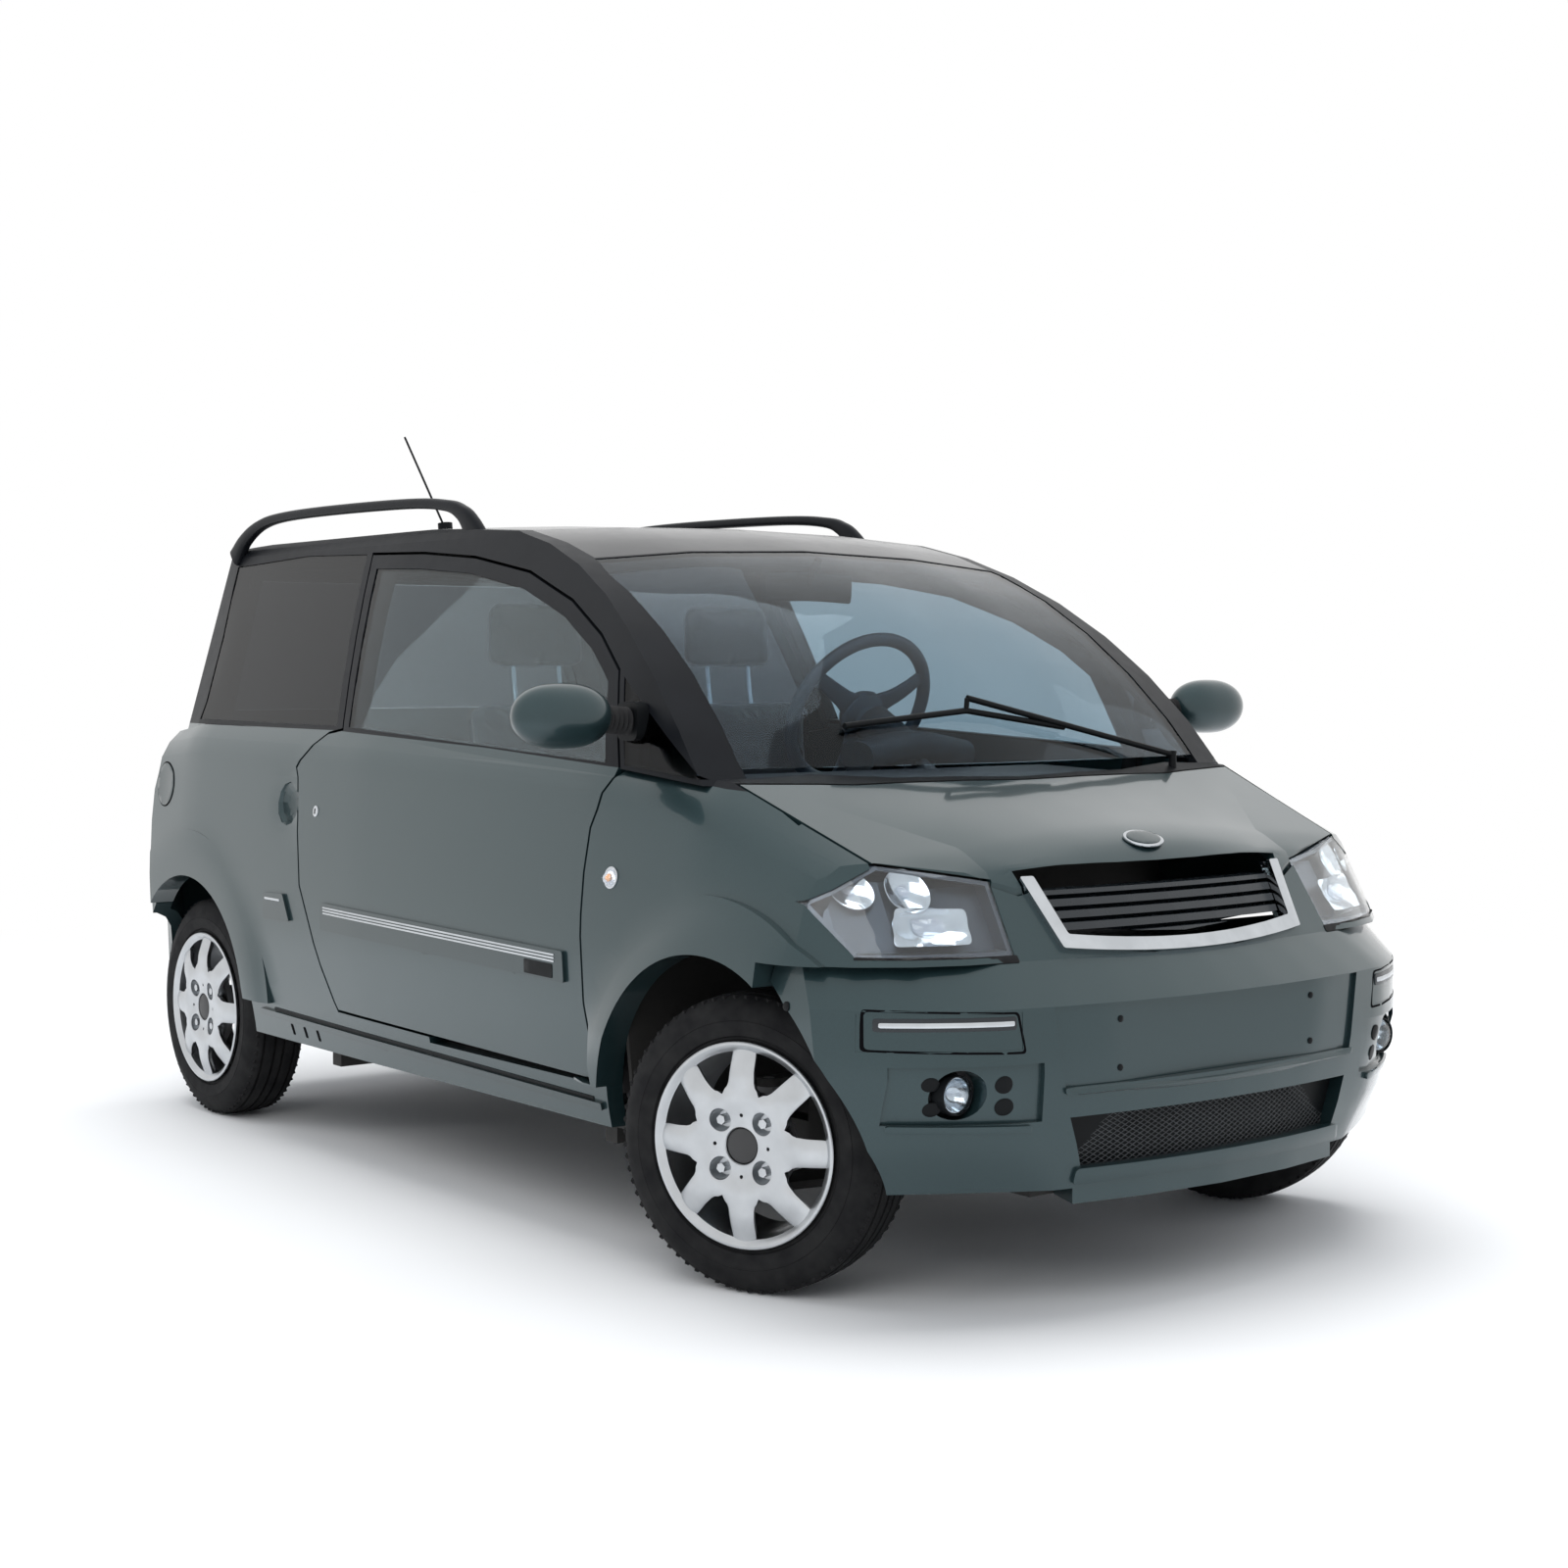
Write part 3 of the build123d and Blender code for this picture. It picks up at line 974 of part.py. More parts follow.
def seat_solid(side):
    """A seat: base, cushion, raked back and headrest in one closed form."""
    y = side * SEAT_Y
    w = SEAT_W / 2
    x0, x1 = SEAT_X
    z0, z1 = SEAT_Z
    outline = [(x0 + 20.0, z0), (x1 - 20.0, z0), (x1, z1 - 40.0), (x1 - 30.0, z1), (x0 + 130.0, z1 - 30.0),
               (x0 + 10.0, BACK_TOP_Z), (x0 - 70.0, BACK_TOP_Z), (x0 - 20.0, z0 + 40.0)]
    body = prism_y(outline, (y - w, y + w))
    rest = block((x0 - 62.0, x0 + 22.0), (y - 130.0, y + 130.0), HEADREST_Z)
    posts = [rod((x0 - 25.0, y + d, BACK_TOP_Z - 30.0), (x0 - 25.0, y + d, HEADREST_Z[0] + 20.0), 7.0)
             for d in (-60.0, 60.0)]
    base = block((x0 + 40.0, x1 - 60.0), (y - 170.0, y + 170.0), (RAIL_Z[1] + FLOOR_T, z0))
    solid = body + rest + base
    for post in posts:
        solid = solid + post
    return solid_of(solid)


def dashboard_solid():
    """The dashboard, with the column's housing."""
    x0, x1 = DASH_X
    z0, z1 = DASH_Z
    return prism_y([(x0 + 40.0, z0), (x0, z0 + 90.0), (x0 + 20.0, z1 - 20.0), (x0 + 110.0, z1),
                    (x1, z1 - 10.0), (x1, DASH_SHELF_Z), (BULKHEAD_X, DASH_SHELF_Z),
                    (BULKHEAD_X, z0)], (-DASH_HALF_W, DASH_HALF_W))


def steering_axis():
    """Unit vector along the column, from the dashboard towards the driver."""
    return (-cos(radians(STEERING_TILT)), 0.0, sin(radians(STEERING_TILT)))


def steering_parts():
    """Steering wheel with its spokes, and the column that carries it."""
    ax = steering_axis()
    ring = revolve(Pos(STEERING_R, 0, 0) * Rot(90, 0, 0) * RegularPolygon(STEERING_GRIP_R, 8),
                   Axis.Z, 360.0)
    hub = Pos(0, 0, -16.0) * Cylinder(48.0, 44.0)
    wheel = ring + hub
    for angle in (90.0, 210.0, 330.0):
        spoke = Pos(STEERING_R / 2, 0, 0) * Box(STEERING_R, 26.0, 12.0)
        wheel = wheel + Rot(0, 0, angle) * spoke
    wheel = Plane(origin=STEERING, x_dir=(0, 1, 0), z_dir=ax) * solid_of(wheel)
    foot = [c - a * 460.0 for c, a in zip(STEERING, ax)]
    top = [c - a * 38.3 for c, a in zip(STEERING, ax)]
    column = rod(foot, top, COLUMN_R)
    shroud = rod([c - a * 240.0 for c, a in zip(STEERING, ax)],
                 [c - a * 60.0 for c, a in zip(STEERING, ax)], 44.0)
    return solid_of(wheel), column + shroud


def main():
    parts = body_parts()
    parts.update(front_bumper_parts())
    parts.update(roof_parts())
    parts.update(mirror_parts())
    parts.update(wiper_part())
    parts.update(chassis_parts())
    tyre, rim = tyre_solid(), rim_solid()
    for name, x, side, steered in (
        ("front_right", FRONT_AXLE_X, -1, True), ("front_left", FRONT_AXLE_X, 1, True),
        ("rear_right", REAR_AXLE_X, -1, False), ("rear_left", REAR_AXLE_X, 1, False),
    ):
        place = wheel_place(x, side, steered)
        parts["tyre_" + name] = place * tyre
        parts["rim_" + name] = place * rim
    parts["knuckle_right"] = knuckle_solid(-1)
    parts["knuckle_left"] = knuckle_solid(1)
    parts["front_suspension"] = front_suspension()
    parts["rear_axle"] = rear_axle()
    seat = seat_solid(-1)
    parts["seats"] = Compound([seat, mirrored(seat)])
    wheel, column = steering_parts()
    parts["steering_wheel"] = wheel
    parts["dashboard"] = solid_of(dashboard_solid() + column)
    for name, shape in parts.items():
        export_step(shape, f"parts/{name}.step")
        print(name, round(shape.volume / 1000), shape.is_valid, len(shape.solids()))


if __name__ == "__main__":
    main()
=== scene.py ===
import logging
import math
from contextlib import contextmanager
from dataclasses import dataclass, field
from enum import Enum
from typing import Callable, Iterable, Iterator, Optional, Sequence

import bmesh
import bpy
import numpy as np
from mathutils import Matrix, Vector
from mathutils.bvhtree import BVHTree
from mathutils.geometry import delaunay_2d_cdt

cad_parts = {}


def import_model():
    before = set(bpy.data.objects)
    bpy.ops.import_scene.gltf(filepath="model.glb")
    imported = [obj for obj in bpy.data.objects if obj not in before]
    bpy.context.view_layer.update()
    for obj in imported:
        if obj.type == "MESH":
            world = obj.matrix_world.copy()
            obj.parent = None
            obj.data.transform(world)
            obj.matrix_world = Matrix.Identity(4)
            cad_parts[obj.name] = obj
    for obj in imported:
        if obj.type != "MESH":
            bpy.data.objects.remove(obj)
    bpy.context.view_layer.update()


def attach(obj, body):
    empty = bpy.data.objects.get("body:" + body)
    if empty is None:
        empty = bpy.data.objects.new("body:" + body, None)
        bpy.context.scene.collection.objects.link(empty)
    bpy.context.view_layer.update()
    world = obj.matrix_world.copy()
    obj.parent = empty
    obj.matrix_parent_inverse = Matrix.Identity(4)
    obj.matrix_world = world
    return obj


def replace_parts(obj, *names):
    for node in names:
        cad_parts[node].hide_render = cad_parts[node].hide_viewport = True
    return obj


log = logging.getLogger("microcar")

Point = tuple[float, float, float]
Colour = tuple[float, float, float]
Outline = list[tuple[float, float]]


class Side(Enum):
    """The car's two sides, with the sign of their Y."""

    RIGHT = -1
    LEFT = 1


class Body(Enum):
    """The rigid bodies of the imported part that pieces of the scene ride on."""

    CAR = "body"
    DOOR_RIGHT = "door_r"
    DOOR_LEFT = "door_l"
    BONNET = "bonnet_lid"
    TAILGATE = "tailgate_lid"
    STEERING = "steering"
    WHEEL_FRONT_RIGHT = "wheel_fr"
    WHEEL_FRONT_LEFT = "wheel_fl"
    WHEEL_REAR_RIGHT = "wheel_rr"
    WHEEL_REAR_LEFT = "wheel_rl"


# Finishes


class Graph:
    """A node tree with short calls: a node takes attributes, values and sockets alike."""

    def __init__(self, tree: bpy.types.NodeTree, prefix: str = "ShaderNode") -> None:
        """Wrap a tree.

        Args:
            tree: The node tree.
            prefix: What stands before each node's short type name.
        """
        self.tree = tree
        self.prefix = prefix

    def feed(self, made: bpy.types.Node, *inputs: object, **settings: object) -> None:
        """Set a node's attributes and its inputs, or link sockets to them.

        Args:
            made: The node.
            inputs: Values or sockets for its first inputs.
            settings: Attributes, or values or sockets by name; underscores stand for spaces.
        """
        for key, value in [*enumerate(inputs), *settings.items()]:
            if isinstance(key, str) and hasattr(made, key):
                setattr(made, key, value)
                continue
            socket = made.inputs[key.replace("_", " ") if isinstance(key, str) else key]
            if isinstance(value, bpy.types.NodeSocket):
                self.link(value, socket)
            else:
                socket.default_value = value

    def node(self, kind: str, *inputs: object, **settings: object) -> bpy.types.Node:
        """Add a node by its short type name and feed it."""
        made = self.tree.nodes.new(self.prefix + kind)
        self.feed(made, *inputs, **settings)
        return made

    def out(self, kind: str, *inputs: object, **settings: object) -> bpy.types.NodeSocket:
        """Add a node, feed it and return its first output."""
        return self.node(kind, *inputs, **settings).outputs[0]

    def link(self, start: bpy.types.NodeSocket, end: bpy.types.NodeSocket) -> None:
        """Join two sockets."""
        self.tree.links.new(start, end)


class Shader(Graph):
    """A material under construction, with short calls for what the finishes use."""

    def __init__(self, name: str) -> None:
        """Start an empty material.

        Args:
            name: The material's name.
        """
        self.material = bpy.data.materials.new(name)
        self.material.use_nodes = True
        super().__init__(self.material.node_tree)
        self.surface = self.tree.nodes["Principled BSDF"]
        self.coords: Optional[bpy.types.Node] = None

    def place(self) -> bpy.types.NodeSocket:
        """The Object coordinates of the piece."""
        if self.coords is None:
            self.coords = self.node("TexCoord")
        return self.coords.outputs["Object"]

    def set(self, **values: object) -> None:
        """Feed the surface shader."""
        self.feed(self.surface, **values)

    def noise(self, scale: float, detail: float = 3.0) -> bpy.types.NodeSocket:
        """A noise value on Object coordinates.

        Args:
            scale: Noise cells per metre.
            detail: Octaves.

        Returns:
            The value socket.
        """
        return self.out("TexNoise", Vector=self.place(), Scale=scale, Detail=detail)

    def ramp(self, value: bpy.types.NodeSocket, stops: Sequence[tuple[float, Colour]]
             ) -> bpy.types.NodeSocket:
        """Turn a value into a colour.

        Args:
            value: The value socket.
            stops: Positions with their colours.

        Returns:
            The colour socket.
        """
        made = self.node("ValToRGB", Fac=value)
        elements = made.color_ramp.elements
        while len(elements) > 1:
            elements.remove(elements[-1])
        for i, (position, colour) in enumerate(stops):
            element = elements[0] if i == 0 else elements.new(position)
            element.position = position
            element.color = (*colour, 1.0)
        return made.outputs["Color"]

    def spread(self, value: bpy.types.NodeSocket, low: float, high: float
               ) -> bpy.types.NodeSocket:
        """Map a value from 0..1 to a range."""
        return self.out("MapRange", Value=value, To_Min=low, To_Max=high)

    def bump(self, height: bpy.types.NodeSocket, strength: float, depth: float) -> None:
        """Give the surface a bump.

        Args:
            height: The height socket.
            strength: Share of the bump.
            depth: Real depth in metres.
        """
        self.set(Normal=self.out("Bump", Height=height, Strength=strength, Distance=depth))


def scaled(colour: Colour, factor: float) -> Colour:
    """A colour made darker or lighter."""
    return tuple(min(1.0, c * factor) for c in colour)


@dataclass(frozen=True)
class MetallicPaint:
    """Car paint: fine metal flake under a clear coat, with a slow drift of tone."""

    name: str
    colour: Colour
    flake: float = 2600.0
    metal: float = 0.55
    rough: float = 0.34

    def build(self) -> bpy.types.Material:
        """Make the material."""
        s = Shader(self.name)
        flakes = s.noise(self.flake, 1.0)
        s.set(Base_Color=s.ramp(flakes, [(0.3, scaled(self.colour, 0.72)), (0.5, self.colour),
                                         (0.72, scaled(self.colour, 1.5))]),
              Roughness=s.spread(s.noise(3.0), self.rough - 0.04, self.rough + 0.05),
              Metallic=self.metal, Coat_Weight=1.0, Coat_Roughness=0.06, Coat_IOR=1.35)
        s.bump(flakes, 0.05, 0.0001)
        return s.material


@dataclass(frozen=True)
class Moulding:
    """Moulded plastic or enamel: a fine grain and slightly uneven gloss."""

    name: str
    colour: Colour
    rough: float = 0.45
    grain: float = 900.0
    depth: float = 0.00012
    strength: float = 0.25
    coat: float = 0.0
    metal: float = 0.0
    sheen: float = 0.5

    def build(self) -> bpy.types.Material:
        """Make the material."""
        s = Shader(self.name)
        tone = s.noise(9.0, 4.0)
        s.set(Base_Color=s.ramp(tone, [(0.25, scaled(self.colour, 0.85)),
                                       (0.75, scaled(self.colour, 1.15))]),
              Roughness=s.spread(s.noise(34.0, 4.0), self.rough - 0.05, self.rough + 0.06),
              Metallic=self.metal, Coat_Weight=self.coat, Coat_Roughness=0.04,
              Specular_IOR_Level=self.sheen)
        if self.strength:
            s.bump(s.noise(self.grain, 2.0), self.strength, self.depth)
        return s.material


@dataclass(frozen=True)
class Pane:
    """Glass: clear or tinted, with a faint film of dust in its roughness."""

    name: str
    colour: Colour
    through: float = 1.0
    rough: float = 0.0
    ior: float = 1.02
    gloss: float = 1.45

    def build(self) -> bpy.types.Material:
        """Make the material."""
        s = Shader(self.name)
        s.set(Base_Color=s.ramp(s.noise(5.0), [(0.2, scaled(self.colour, 0.96)),
                                               (0.8, self.colour)]),
              Transmission_Weight=self.through, IOR=self.ior, Coat_Weight=1.0,
              Coat_Roughness=0.0, Coat_IOR=self.gloss, Roughness=self.rough)
        return s.material


@dataclass(frozen=True)
class BareMetal:
    """Plated, cast or brushed metal."""

    name: str
    colour: Colour
    rough: float = 0.2
    grain: float = 300.0
    strength: float = 0.05

    def build(self) -> bpy.types.Material:
        """Make the material."""
        s = Shader(self.name)
        tone = s.noise(20.0, 5.0)
        s.set(Base_Color=s.ramp(tone, [(0.3, scaled(self.colour, 0.86)), (0.7, self.colour)]),
              Roughness=s.spread(s.noise(60.0, 5.0), max(0.02, self.rough - 0.06),
                                 self.rough + 0.06), Metallic=1.0)
        s.bump(s.noise(self.grain, 2.0), self.strength, 0.0001)
        return s.material


@dataclass(frozen=True)
class Rubber:
    """Tyre and seal rubber: dusty black with a dull sheen."""

    name: str
    colour: Colour = (0.010, 0.010, 0.011)
    dust: Colour = (0.022, 0.022, 0.022)
    rough: float = 0.72

    def build(self) -> bpy.types.Material:
        """Make the material."""
        s = Shader(self.name)
        s.set(Base_Color=s.ramp(s.noise(26.0, 6.0), [(0.35, self.colour), (0.8, self.dust)]),
              Roughness=s.spread(s.noise(50.0, 4.0), self.rough - 0.1, self.rough + 0.12),
              Specular_IOR_Level=0.12)
        s.bump(s.noise(420.0, 3.0), 0.3, 0.0003)
        return s.material


@dataclass(frozen=True)
class Weave:
    """Woven upholstery: two crossed sets of threads and a soft sheen."""

    name: str
    colour: Colour
    threads: float = 420.0

    def build(self) -> bpy.types.Material:
        """Make the material."""
        s = Shader(self.name)
        waves = [s.node("TexWave", Vector=s.place(), Scale=self.threads, Distortion=1.2,
                        bands_direction=way).outputs["Fac"] for way in "XZ"]
        cross = s.out("Math", *waves, operation="MULTIPLY")
        s.set(Base_Color=s.ramp(cross, [(0.0, scaled(self.colour, 0.6)),
                                        (0.7, scaled(self.colour, 1.35))]),
              Roughness=0.9, Sheen_Weight=0.4, Sheen_Roughness=0.5)
        s.bump(cross, 0.35, 0.0006)
        return s.material


# The paints and mouldings of this car
FINISHES = {
    "paint": MetallicPaint("teal_grey_paint", (0.020, 0.043, 0.048)),
    "roof_gloss": Moulding("roof_gloss_black", (0.006, 0.007, 0.009), 0.14, 700.0, 0.00003, 0.05,
                           sheen=0.30),
    "arch_satin": Moulding("pillar_satin_black", (0.007, 0.008, 0.010), 0.36, 1200.0, 0.00005,
                           0.12, sheen=0.12),
    "trim_black": Moulding("trim_black", (0.006, 0.007, 0.008), 0.45, sheen=0.12),
    "gloss_black": Moulding("grille_gloss_black", (0.014, 0.018, 0.022), 0.26, 700.0, 0.00003,
                            0.05, coat=0.2, sheen=0.35),
    "clear_glass": Pane("clear_glass", (0.44, 0.54, 0.58), gloss=1.30),
    "screen": Pane("windscreen_glass", (0.42, 0.52, 0.60), gloss=1.22),
    "dark_glass": Pane("privacy_glass", (0.060, 0.068, 0.076), gloss=1.25),
    "lens": Pane("lamp_lens", (0.96, 0.98, 0.99)),
    "bulb": Pane("bulb_glass", (0.92, 0.95, 1.0), 0.9, 0.05),
    "bowl": Moulding("lamp_bowl_grey", (0.050, 0.065, 0.085), 0.32, 600.0, 0.0001, 0.1,
                     metal=0.6, sheen=0.3),
    "mesh_black": Moulding("mesh_grey_black", (0.055, 0.060, 0.064), 0.45),
    # shadow: a near-black sheet laid in gaps, slots and the lock's keyhole, as painted shade where
    # the real part only lies in shadow
    "shadow": Moulding("recess_black", (0.003, 0.003, 0.004), 0.8, sheen=0.05),
    # paint_dark: the body paint made darker for mouldings, the fuel flap, the sill ledge and the
    # badge blank, as painted shade
    "paint_dark": MetallicPaint("teal_grey_inset", (0.015, 0.033, 0.037)),
    "red_lens": Moulding("tail_lens_red", (0.34, 0.012, 0.014), 0.12, 500.0, 0.0001, 0.1,
                         coat=0.8),
    "amber_lens": Moulding("turn_lens_amber", (0.85, 0.32, 0.03), 0.15, 500.0, 0.0001, 0.1,
                           coat=0.8),
    "chrome": BareMetal("bright_plating", (0.60, 0.63, 0.66), 0.12, 200.0, 0.02),
    "reflector": BareMetal("lamp_reflector", (0.52, 0.58, 0.64), 0.12, 90.0, 0.04),
    "alloy": BareMetal("silver_wheel_enamel", (0.56, 0.58, 0.60), 0.32, 900.0, 0.06),
    "steel": BareMetal("road_worn_steel", (0.30, 0.30, 0.31), 0.5, 160.0, 0.3),
    "underseal": Moulding("underseal_black", (0.022, 0.021, 0.020), 0.75, 220.0, 0.0006, 0.5),
    "engine": Moulding("cast_engine_grey", (0.12, 0.12, 0.125), 0.6, 260.0, 0.0005, 0.5,
                       metal=0.5),
    "tyre": Rubber("tyre_rubber"),
    "seal": Rubber("seal_rubber", (0.012, 0.012, 0.013), (0.03, 0.03, 0.03), 0.6),
    "fabric": Weave("seat_weave", (0.018, 0.022, 0.030)),
    "cabin": Moulding("dashboard_grain", (0.022, 0.025, 0.029), 0.62, 520.0, 0.0004, 0.5),
    "wheel_grip": Moulding("steering_grip_blue_grey", (0.060, 0.082, 0.105), 0.5, 600.0, 0.0003,
                           0.4),
    "cap": Moulding("centre_cap_grey", (0.035, 0.035, 0.036), 0.5, 700.0, 0.0004, 0.6),
    "mirror": BareMetal("mirror_face", (0.9, 0.92, 0.93), 0.02, 50.0, 0.0),
}

# The record's slot of each finish; the others are black_satin
SLOTS = {
    "paint": "body_paint", "paint_dark": "body_paint", "roof_gloss": "black_gloss",
    "clear_glass": "glass_clear", "screen": "glass_clear", "dark_glass": "glass_dark",
    "lens": "lens_clear", "bulb": "lens_clear", "red_lens": "lens_red",
    "chrome": "chrome_trim", "reflector": "lamp_inside", "fabric": "seat_fabric",
    "cabin": "cabin_plastic", "wheel_grip": "cabin_plastic", "tyre": "tyre", "alloy": "alloy",
}

_MADE: dict[str, bpy.types.Material] = {}


def finish(name: str) -> bpy.types.Material:
    """The material of a finish, made once.

    Args:
        name: A key of FINISHES.

    Returns:
        The material.
    """
    if name not in _MADE:
        _MADE[name] = FINISHES[name].build()
    return _MADE[name]


# The line between paint below and black frames above (x, z)
BELT = [(-1.600, 0.957), (-0.480, 0.957), (0.180, 0.936), (0.660, 0.912), (1.075, 0.868)]

# The bonnet's two creases (x, half y), and how high its crown stands between them (x, rise)
CREASE = [(0.900, 0.632), (1.000, 0.560), (1.243, 0.384), (1.500, 0.384)]
CROWN = [(1.005, 0.0), (1.100, 0.0060), (1.180, 0.0130), (1.263, 0.0215), (1.300, 0.0250),
         (1.324, 0.0250), (1.342, 0.0190), (1.354, 0.0100), (1.364, 0.0020), (1.370, 0.0)]


# Mesh helpers


WELD = 0.00002              # points nearer than this are one point
THIN = 0.00001              # the least length that an edge or a cut keeps
TINY = 1e-6
EDGE_ANGLE = 38.0           # degrees between two faces that get a rounded or sharp edge
TURNED_ANGLE = 32.0         # the same for turned forms
SWEPT_ANGLE = 42.0          # the same for swept forms
SPLIT_PASSES = 6


@contextmanager
def editing(mesh: bpy.types.Mesh) -> Iterator[bmesh.types.BMesh]:
    """Open a mesh for editing and write the result back into it."""
    bm = bmesh.new()
    bm.from_mesh(mesh)
    yield bm
    bm.to_mesh(mesh)
    bm.free()


def carried(name: str, data: bpy.types.ID) -> bpy.types.Object:
    """An object in the scene that carries some data."""
    carrier = bpy.data.objects.new(name, data)
    bpy.context.scene.collection.objects.link(carrier)
    return carrier


def evaluated(carrier: bpy.types.Object) -> bpy.types.Mesh:
    """What an object's modifiers make of its mesh, as a plain mesh."""
    bpy.context.view_layer.update()
    graph = bpy.context.evaluated_depsgraph_get()
    return bpy.data.meshes.new_from_object(carrier.evaluated_get(graph))


def column(parts: bpy.types.bpy_prop_collection, key: str, width: int = 3) -> np.ndarray:
    """One value of all of a mesh's parts, as rows of numbers."""
    values = np.empty(len(parts) * width)
    parts.foreach_get(key, values)
    return values.reshape(-1, width)


def shaded(mesh: bpy.types.Mesh, degrees: float) -> bpy.types.Mesh:
    """The mesh with smooth faces, and sharp edges beyond an angle."""
    mesh.polygons.foreach_set("use_smooth", [True] * len(mesh.polygons))
    mesh.set_sharp_from_angle(angle=math.radians(degrees))
    return mesh


def new_object(name: str, mesh: bpy.types.Mesh, material: str, body: Body = Body.CAR,
               slot: str = "") -> bpy.types.Object:
    """Put a finished mesh into the scene and hand it to its body.

    Args:
        name: The piece's name.
        mesh: Its mesh, already in the car's frame.
        material: A key of FINISHES.
        body: The body it rides on.
        slot: The record's material slot, where it isn't the finish's own; it is not used.

    Returns:
        The object.
    """
    slot = slot or SLOTS.get(material, "black_satin")
    piece = carried(name, mesh)
    if not mesh.materials:
        mesh.materials.append(finish(material))
    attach(piece, body.value)
    log.info("%s: %d faces", name, len(mesh.polygons))
    return piece


def replacing(name: str, mesh: bpy.types.Mesh, node: str, material: str,
              body: Body = Body.CAR, slot: str = "") -> None:
    """Put a mesh in the place of a CAD node."""
    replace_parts(new_object(name, mesh, material, body, slot), node)


def merged_copy(node: str) -> bpy.types.Mesh:
    """A copy of a CAD node's mesh with its loose triangles joined."""
    mesh = bpy.data.objects[node].data.copy()
    with editing(mesh) as bm:
        bmesh.ops.remove_doubles(bm, verts=bm.verts, dist=WELD)
        bmesh.ops.dissolve_degenerate(bm, edges=bm.edges, dist=THIN)
    return mesh


def split_long(mesh: bpy.types.Mesh, longest: float) -> None:
    """Divide edges until none is longer than a length.

    Args:
        mesh: The mesh to divide.
        longest: The longest edge that stays, in metres.
    """
    with editing(mesh) as bm:
        for _ in range(SPLIT_PASSES):
            long_edges = [e for e in bm.edges if e.calc_length() > longest]
            if not long_edges:
                break
            bmesh.ops.subdivide_edges(bm, edges=long_edges, cuts=1, use_grid_fill=False)
            bmesh.ops.triangulate(bm, faces=[f for f in bm.faces if len(f.verts) > 3])


NEARNESS = 0.45             # share of the reach at which a face's weight has fallen off


def smooth_normals(mesh: bpy.types.Mesh, reach: float, crease: float,
                   zone: Optional[Callable[[Point], int]] = None) -> None:
    """Shade a panel as one flowing surface: each corner's normal is a mean over nearby faces
    that lie within the crease angle of its own face.

    Args:
        mesh: A triangle mesh.
        reach: How far the mean reaches, in metres.
        crease: Faces that differ by more than this many degrees keep a sharp edge.
        zone: Tells which zone a face centre lies in; zones meet in a sharp edge.
    """
    centres, normals = (column(mesh.polygons, key) for key in ("center", "normal"))
    areas = column(mesh.polygons, "area", 1)[:, 0]
    points = column(mesh.vertices, "co")
    cells: dict[tuple[int, int, int], list[int]] = {}
    keys = np.floor(centres / reach).astype(int)
    for i, key in enumerate(map(tuple, keys)):
        cells.setdefault(key, []).append(i)
    near: dict[tuple[int, int, int], np.ndarray] = {}

    def around(key: tuple[int, int, int]) -> np.ndarray:
        """The faces in a cell and the cells next to it."""
        if key not in near:
            found: list[int] = []
            for dx in (-1, 0, 1):
                for dy in (-1, 0, 1):
                    for dz in (-1, 0, 1):
                        found += cells.get((key[0] + dx, key[1] + dy, key[2] + dz), [])
            near[key] = np.array(found, int)
        return near[key]

    limit = math.cos(math.radians(crease))
    zones = np.array([zone(tuple(c)) if zone else 0 for c in centres])
    result = np.zeros((len(mesh.loops), 3))
    by_vertex: dict[int, list[tuple[int, int]]] = {}
    for polygon in mesh.polygons:
        for loop, vertex in zip(polygon.loop_indices, polygon.vertices):
            by_vertex.setdefault(vertex, []).append((loop, polygon.index))
    for vertex, corners in by_vertex.items():
        point = points[vertex]
        found = around(tuple(np.floor(point / reach).astype(int)))
        gap = np.linalg.norm(centres[found] - point, axis=1)
        weight = areas[found] * np.exp(-(gap / (NEARNESS * reach)) ** 2)
        owners = np.array([face for _, face in corners])
        agree = normals[owners] @ normals[found].T > limit
        agree &= zones[owners][:, None] == zones[found][None, :]
        sums = (agree * weight) @ normals[found]
        length = np.linalg.norm(sums, axis=1)
        for row, (loop, face) in enumerate(corners):
            result[loop] = sums[row] / length[row] if length[row] > 1e-12 else normals[face]
    for polygon in mesh.polygons:
        polygon.use_smooth = True
    mesh.normals_split_custom_set([tuple(n) for n in result])


def height_on(line: Sequence[tuple[float, float]], x: float) -> float:
    """The height of an (x, z) line at a place along the car."""
    xs, zs = zip(*line)
    return float(np.interp(x, xs, zs))


def cut_along(mesh: bpy.types.Mesh, line: Sequence[tuple[float, float]],
              from_above: bool = False) -> None:
    """Cut a mesh along an (x, z) line, so that two finishes can meet there.

    Args:
        mesh: The mesh to cut.
        line: The line's points, from the rear to the front.
        from_above: The line is (x, y) instead, and a second cut mirrors it.
    """
    with editing(mesh) as bm:
        for (x0, w0), (x1, w1) in zip(line, line[1:]):
            for sign in (1.0, -1.0) if from_above else (1.0,):
                at, normal = (x0, 0.0, w0), (w0 - w1, 0.0, x1 - x0)
                if from_above:
                    at, normal = (x0, sign * w0, 0.0), (sign * (w0 - w1), x1 - x0, 0.0)
                bmesh.ops.bisect_plane(bm, geom=bm.verts[:] + bm.edges[:] + bm.faces[:],
                                       dist=THIN, plane_co=at, plane_no=normal)
        bmesh.ops.triangulate(bm, faces=[f for f in bm.faces if len(f.verts) > 3])


def crowned(point: Vector) -> float:
    """How far the bonnet's crown rises between its two creases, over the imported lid."""
    share = point.y / height_on(CREASE, point.x)
    return height_on(CROWN, point.x) * max(0.0, 1.0 - share * share)


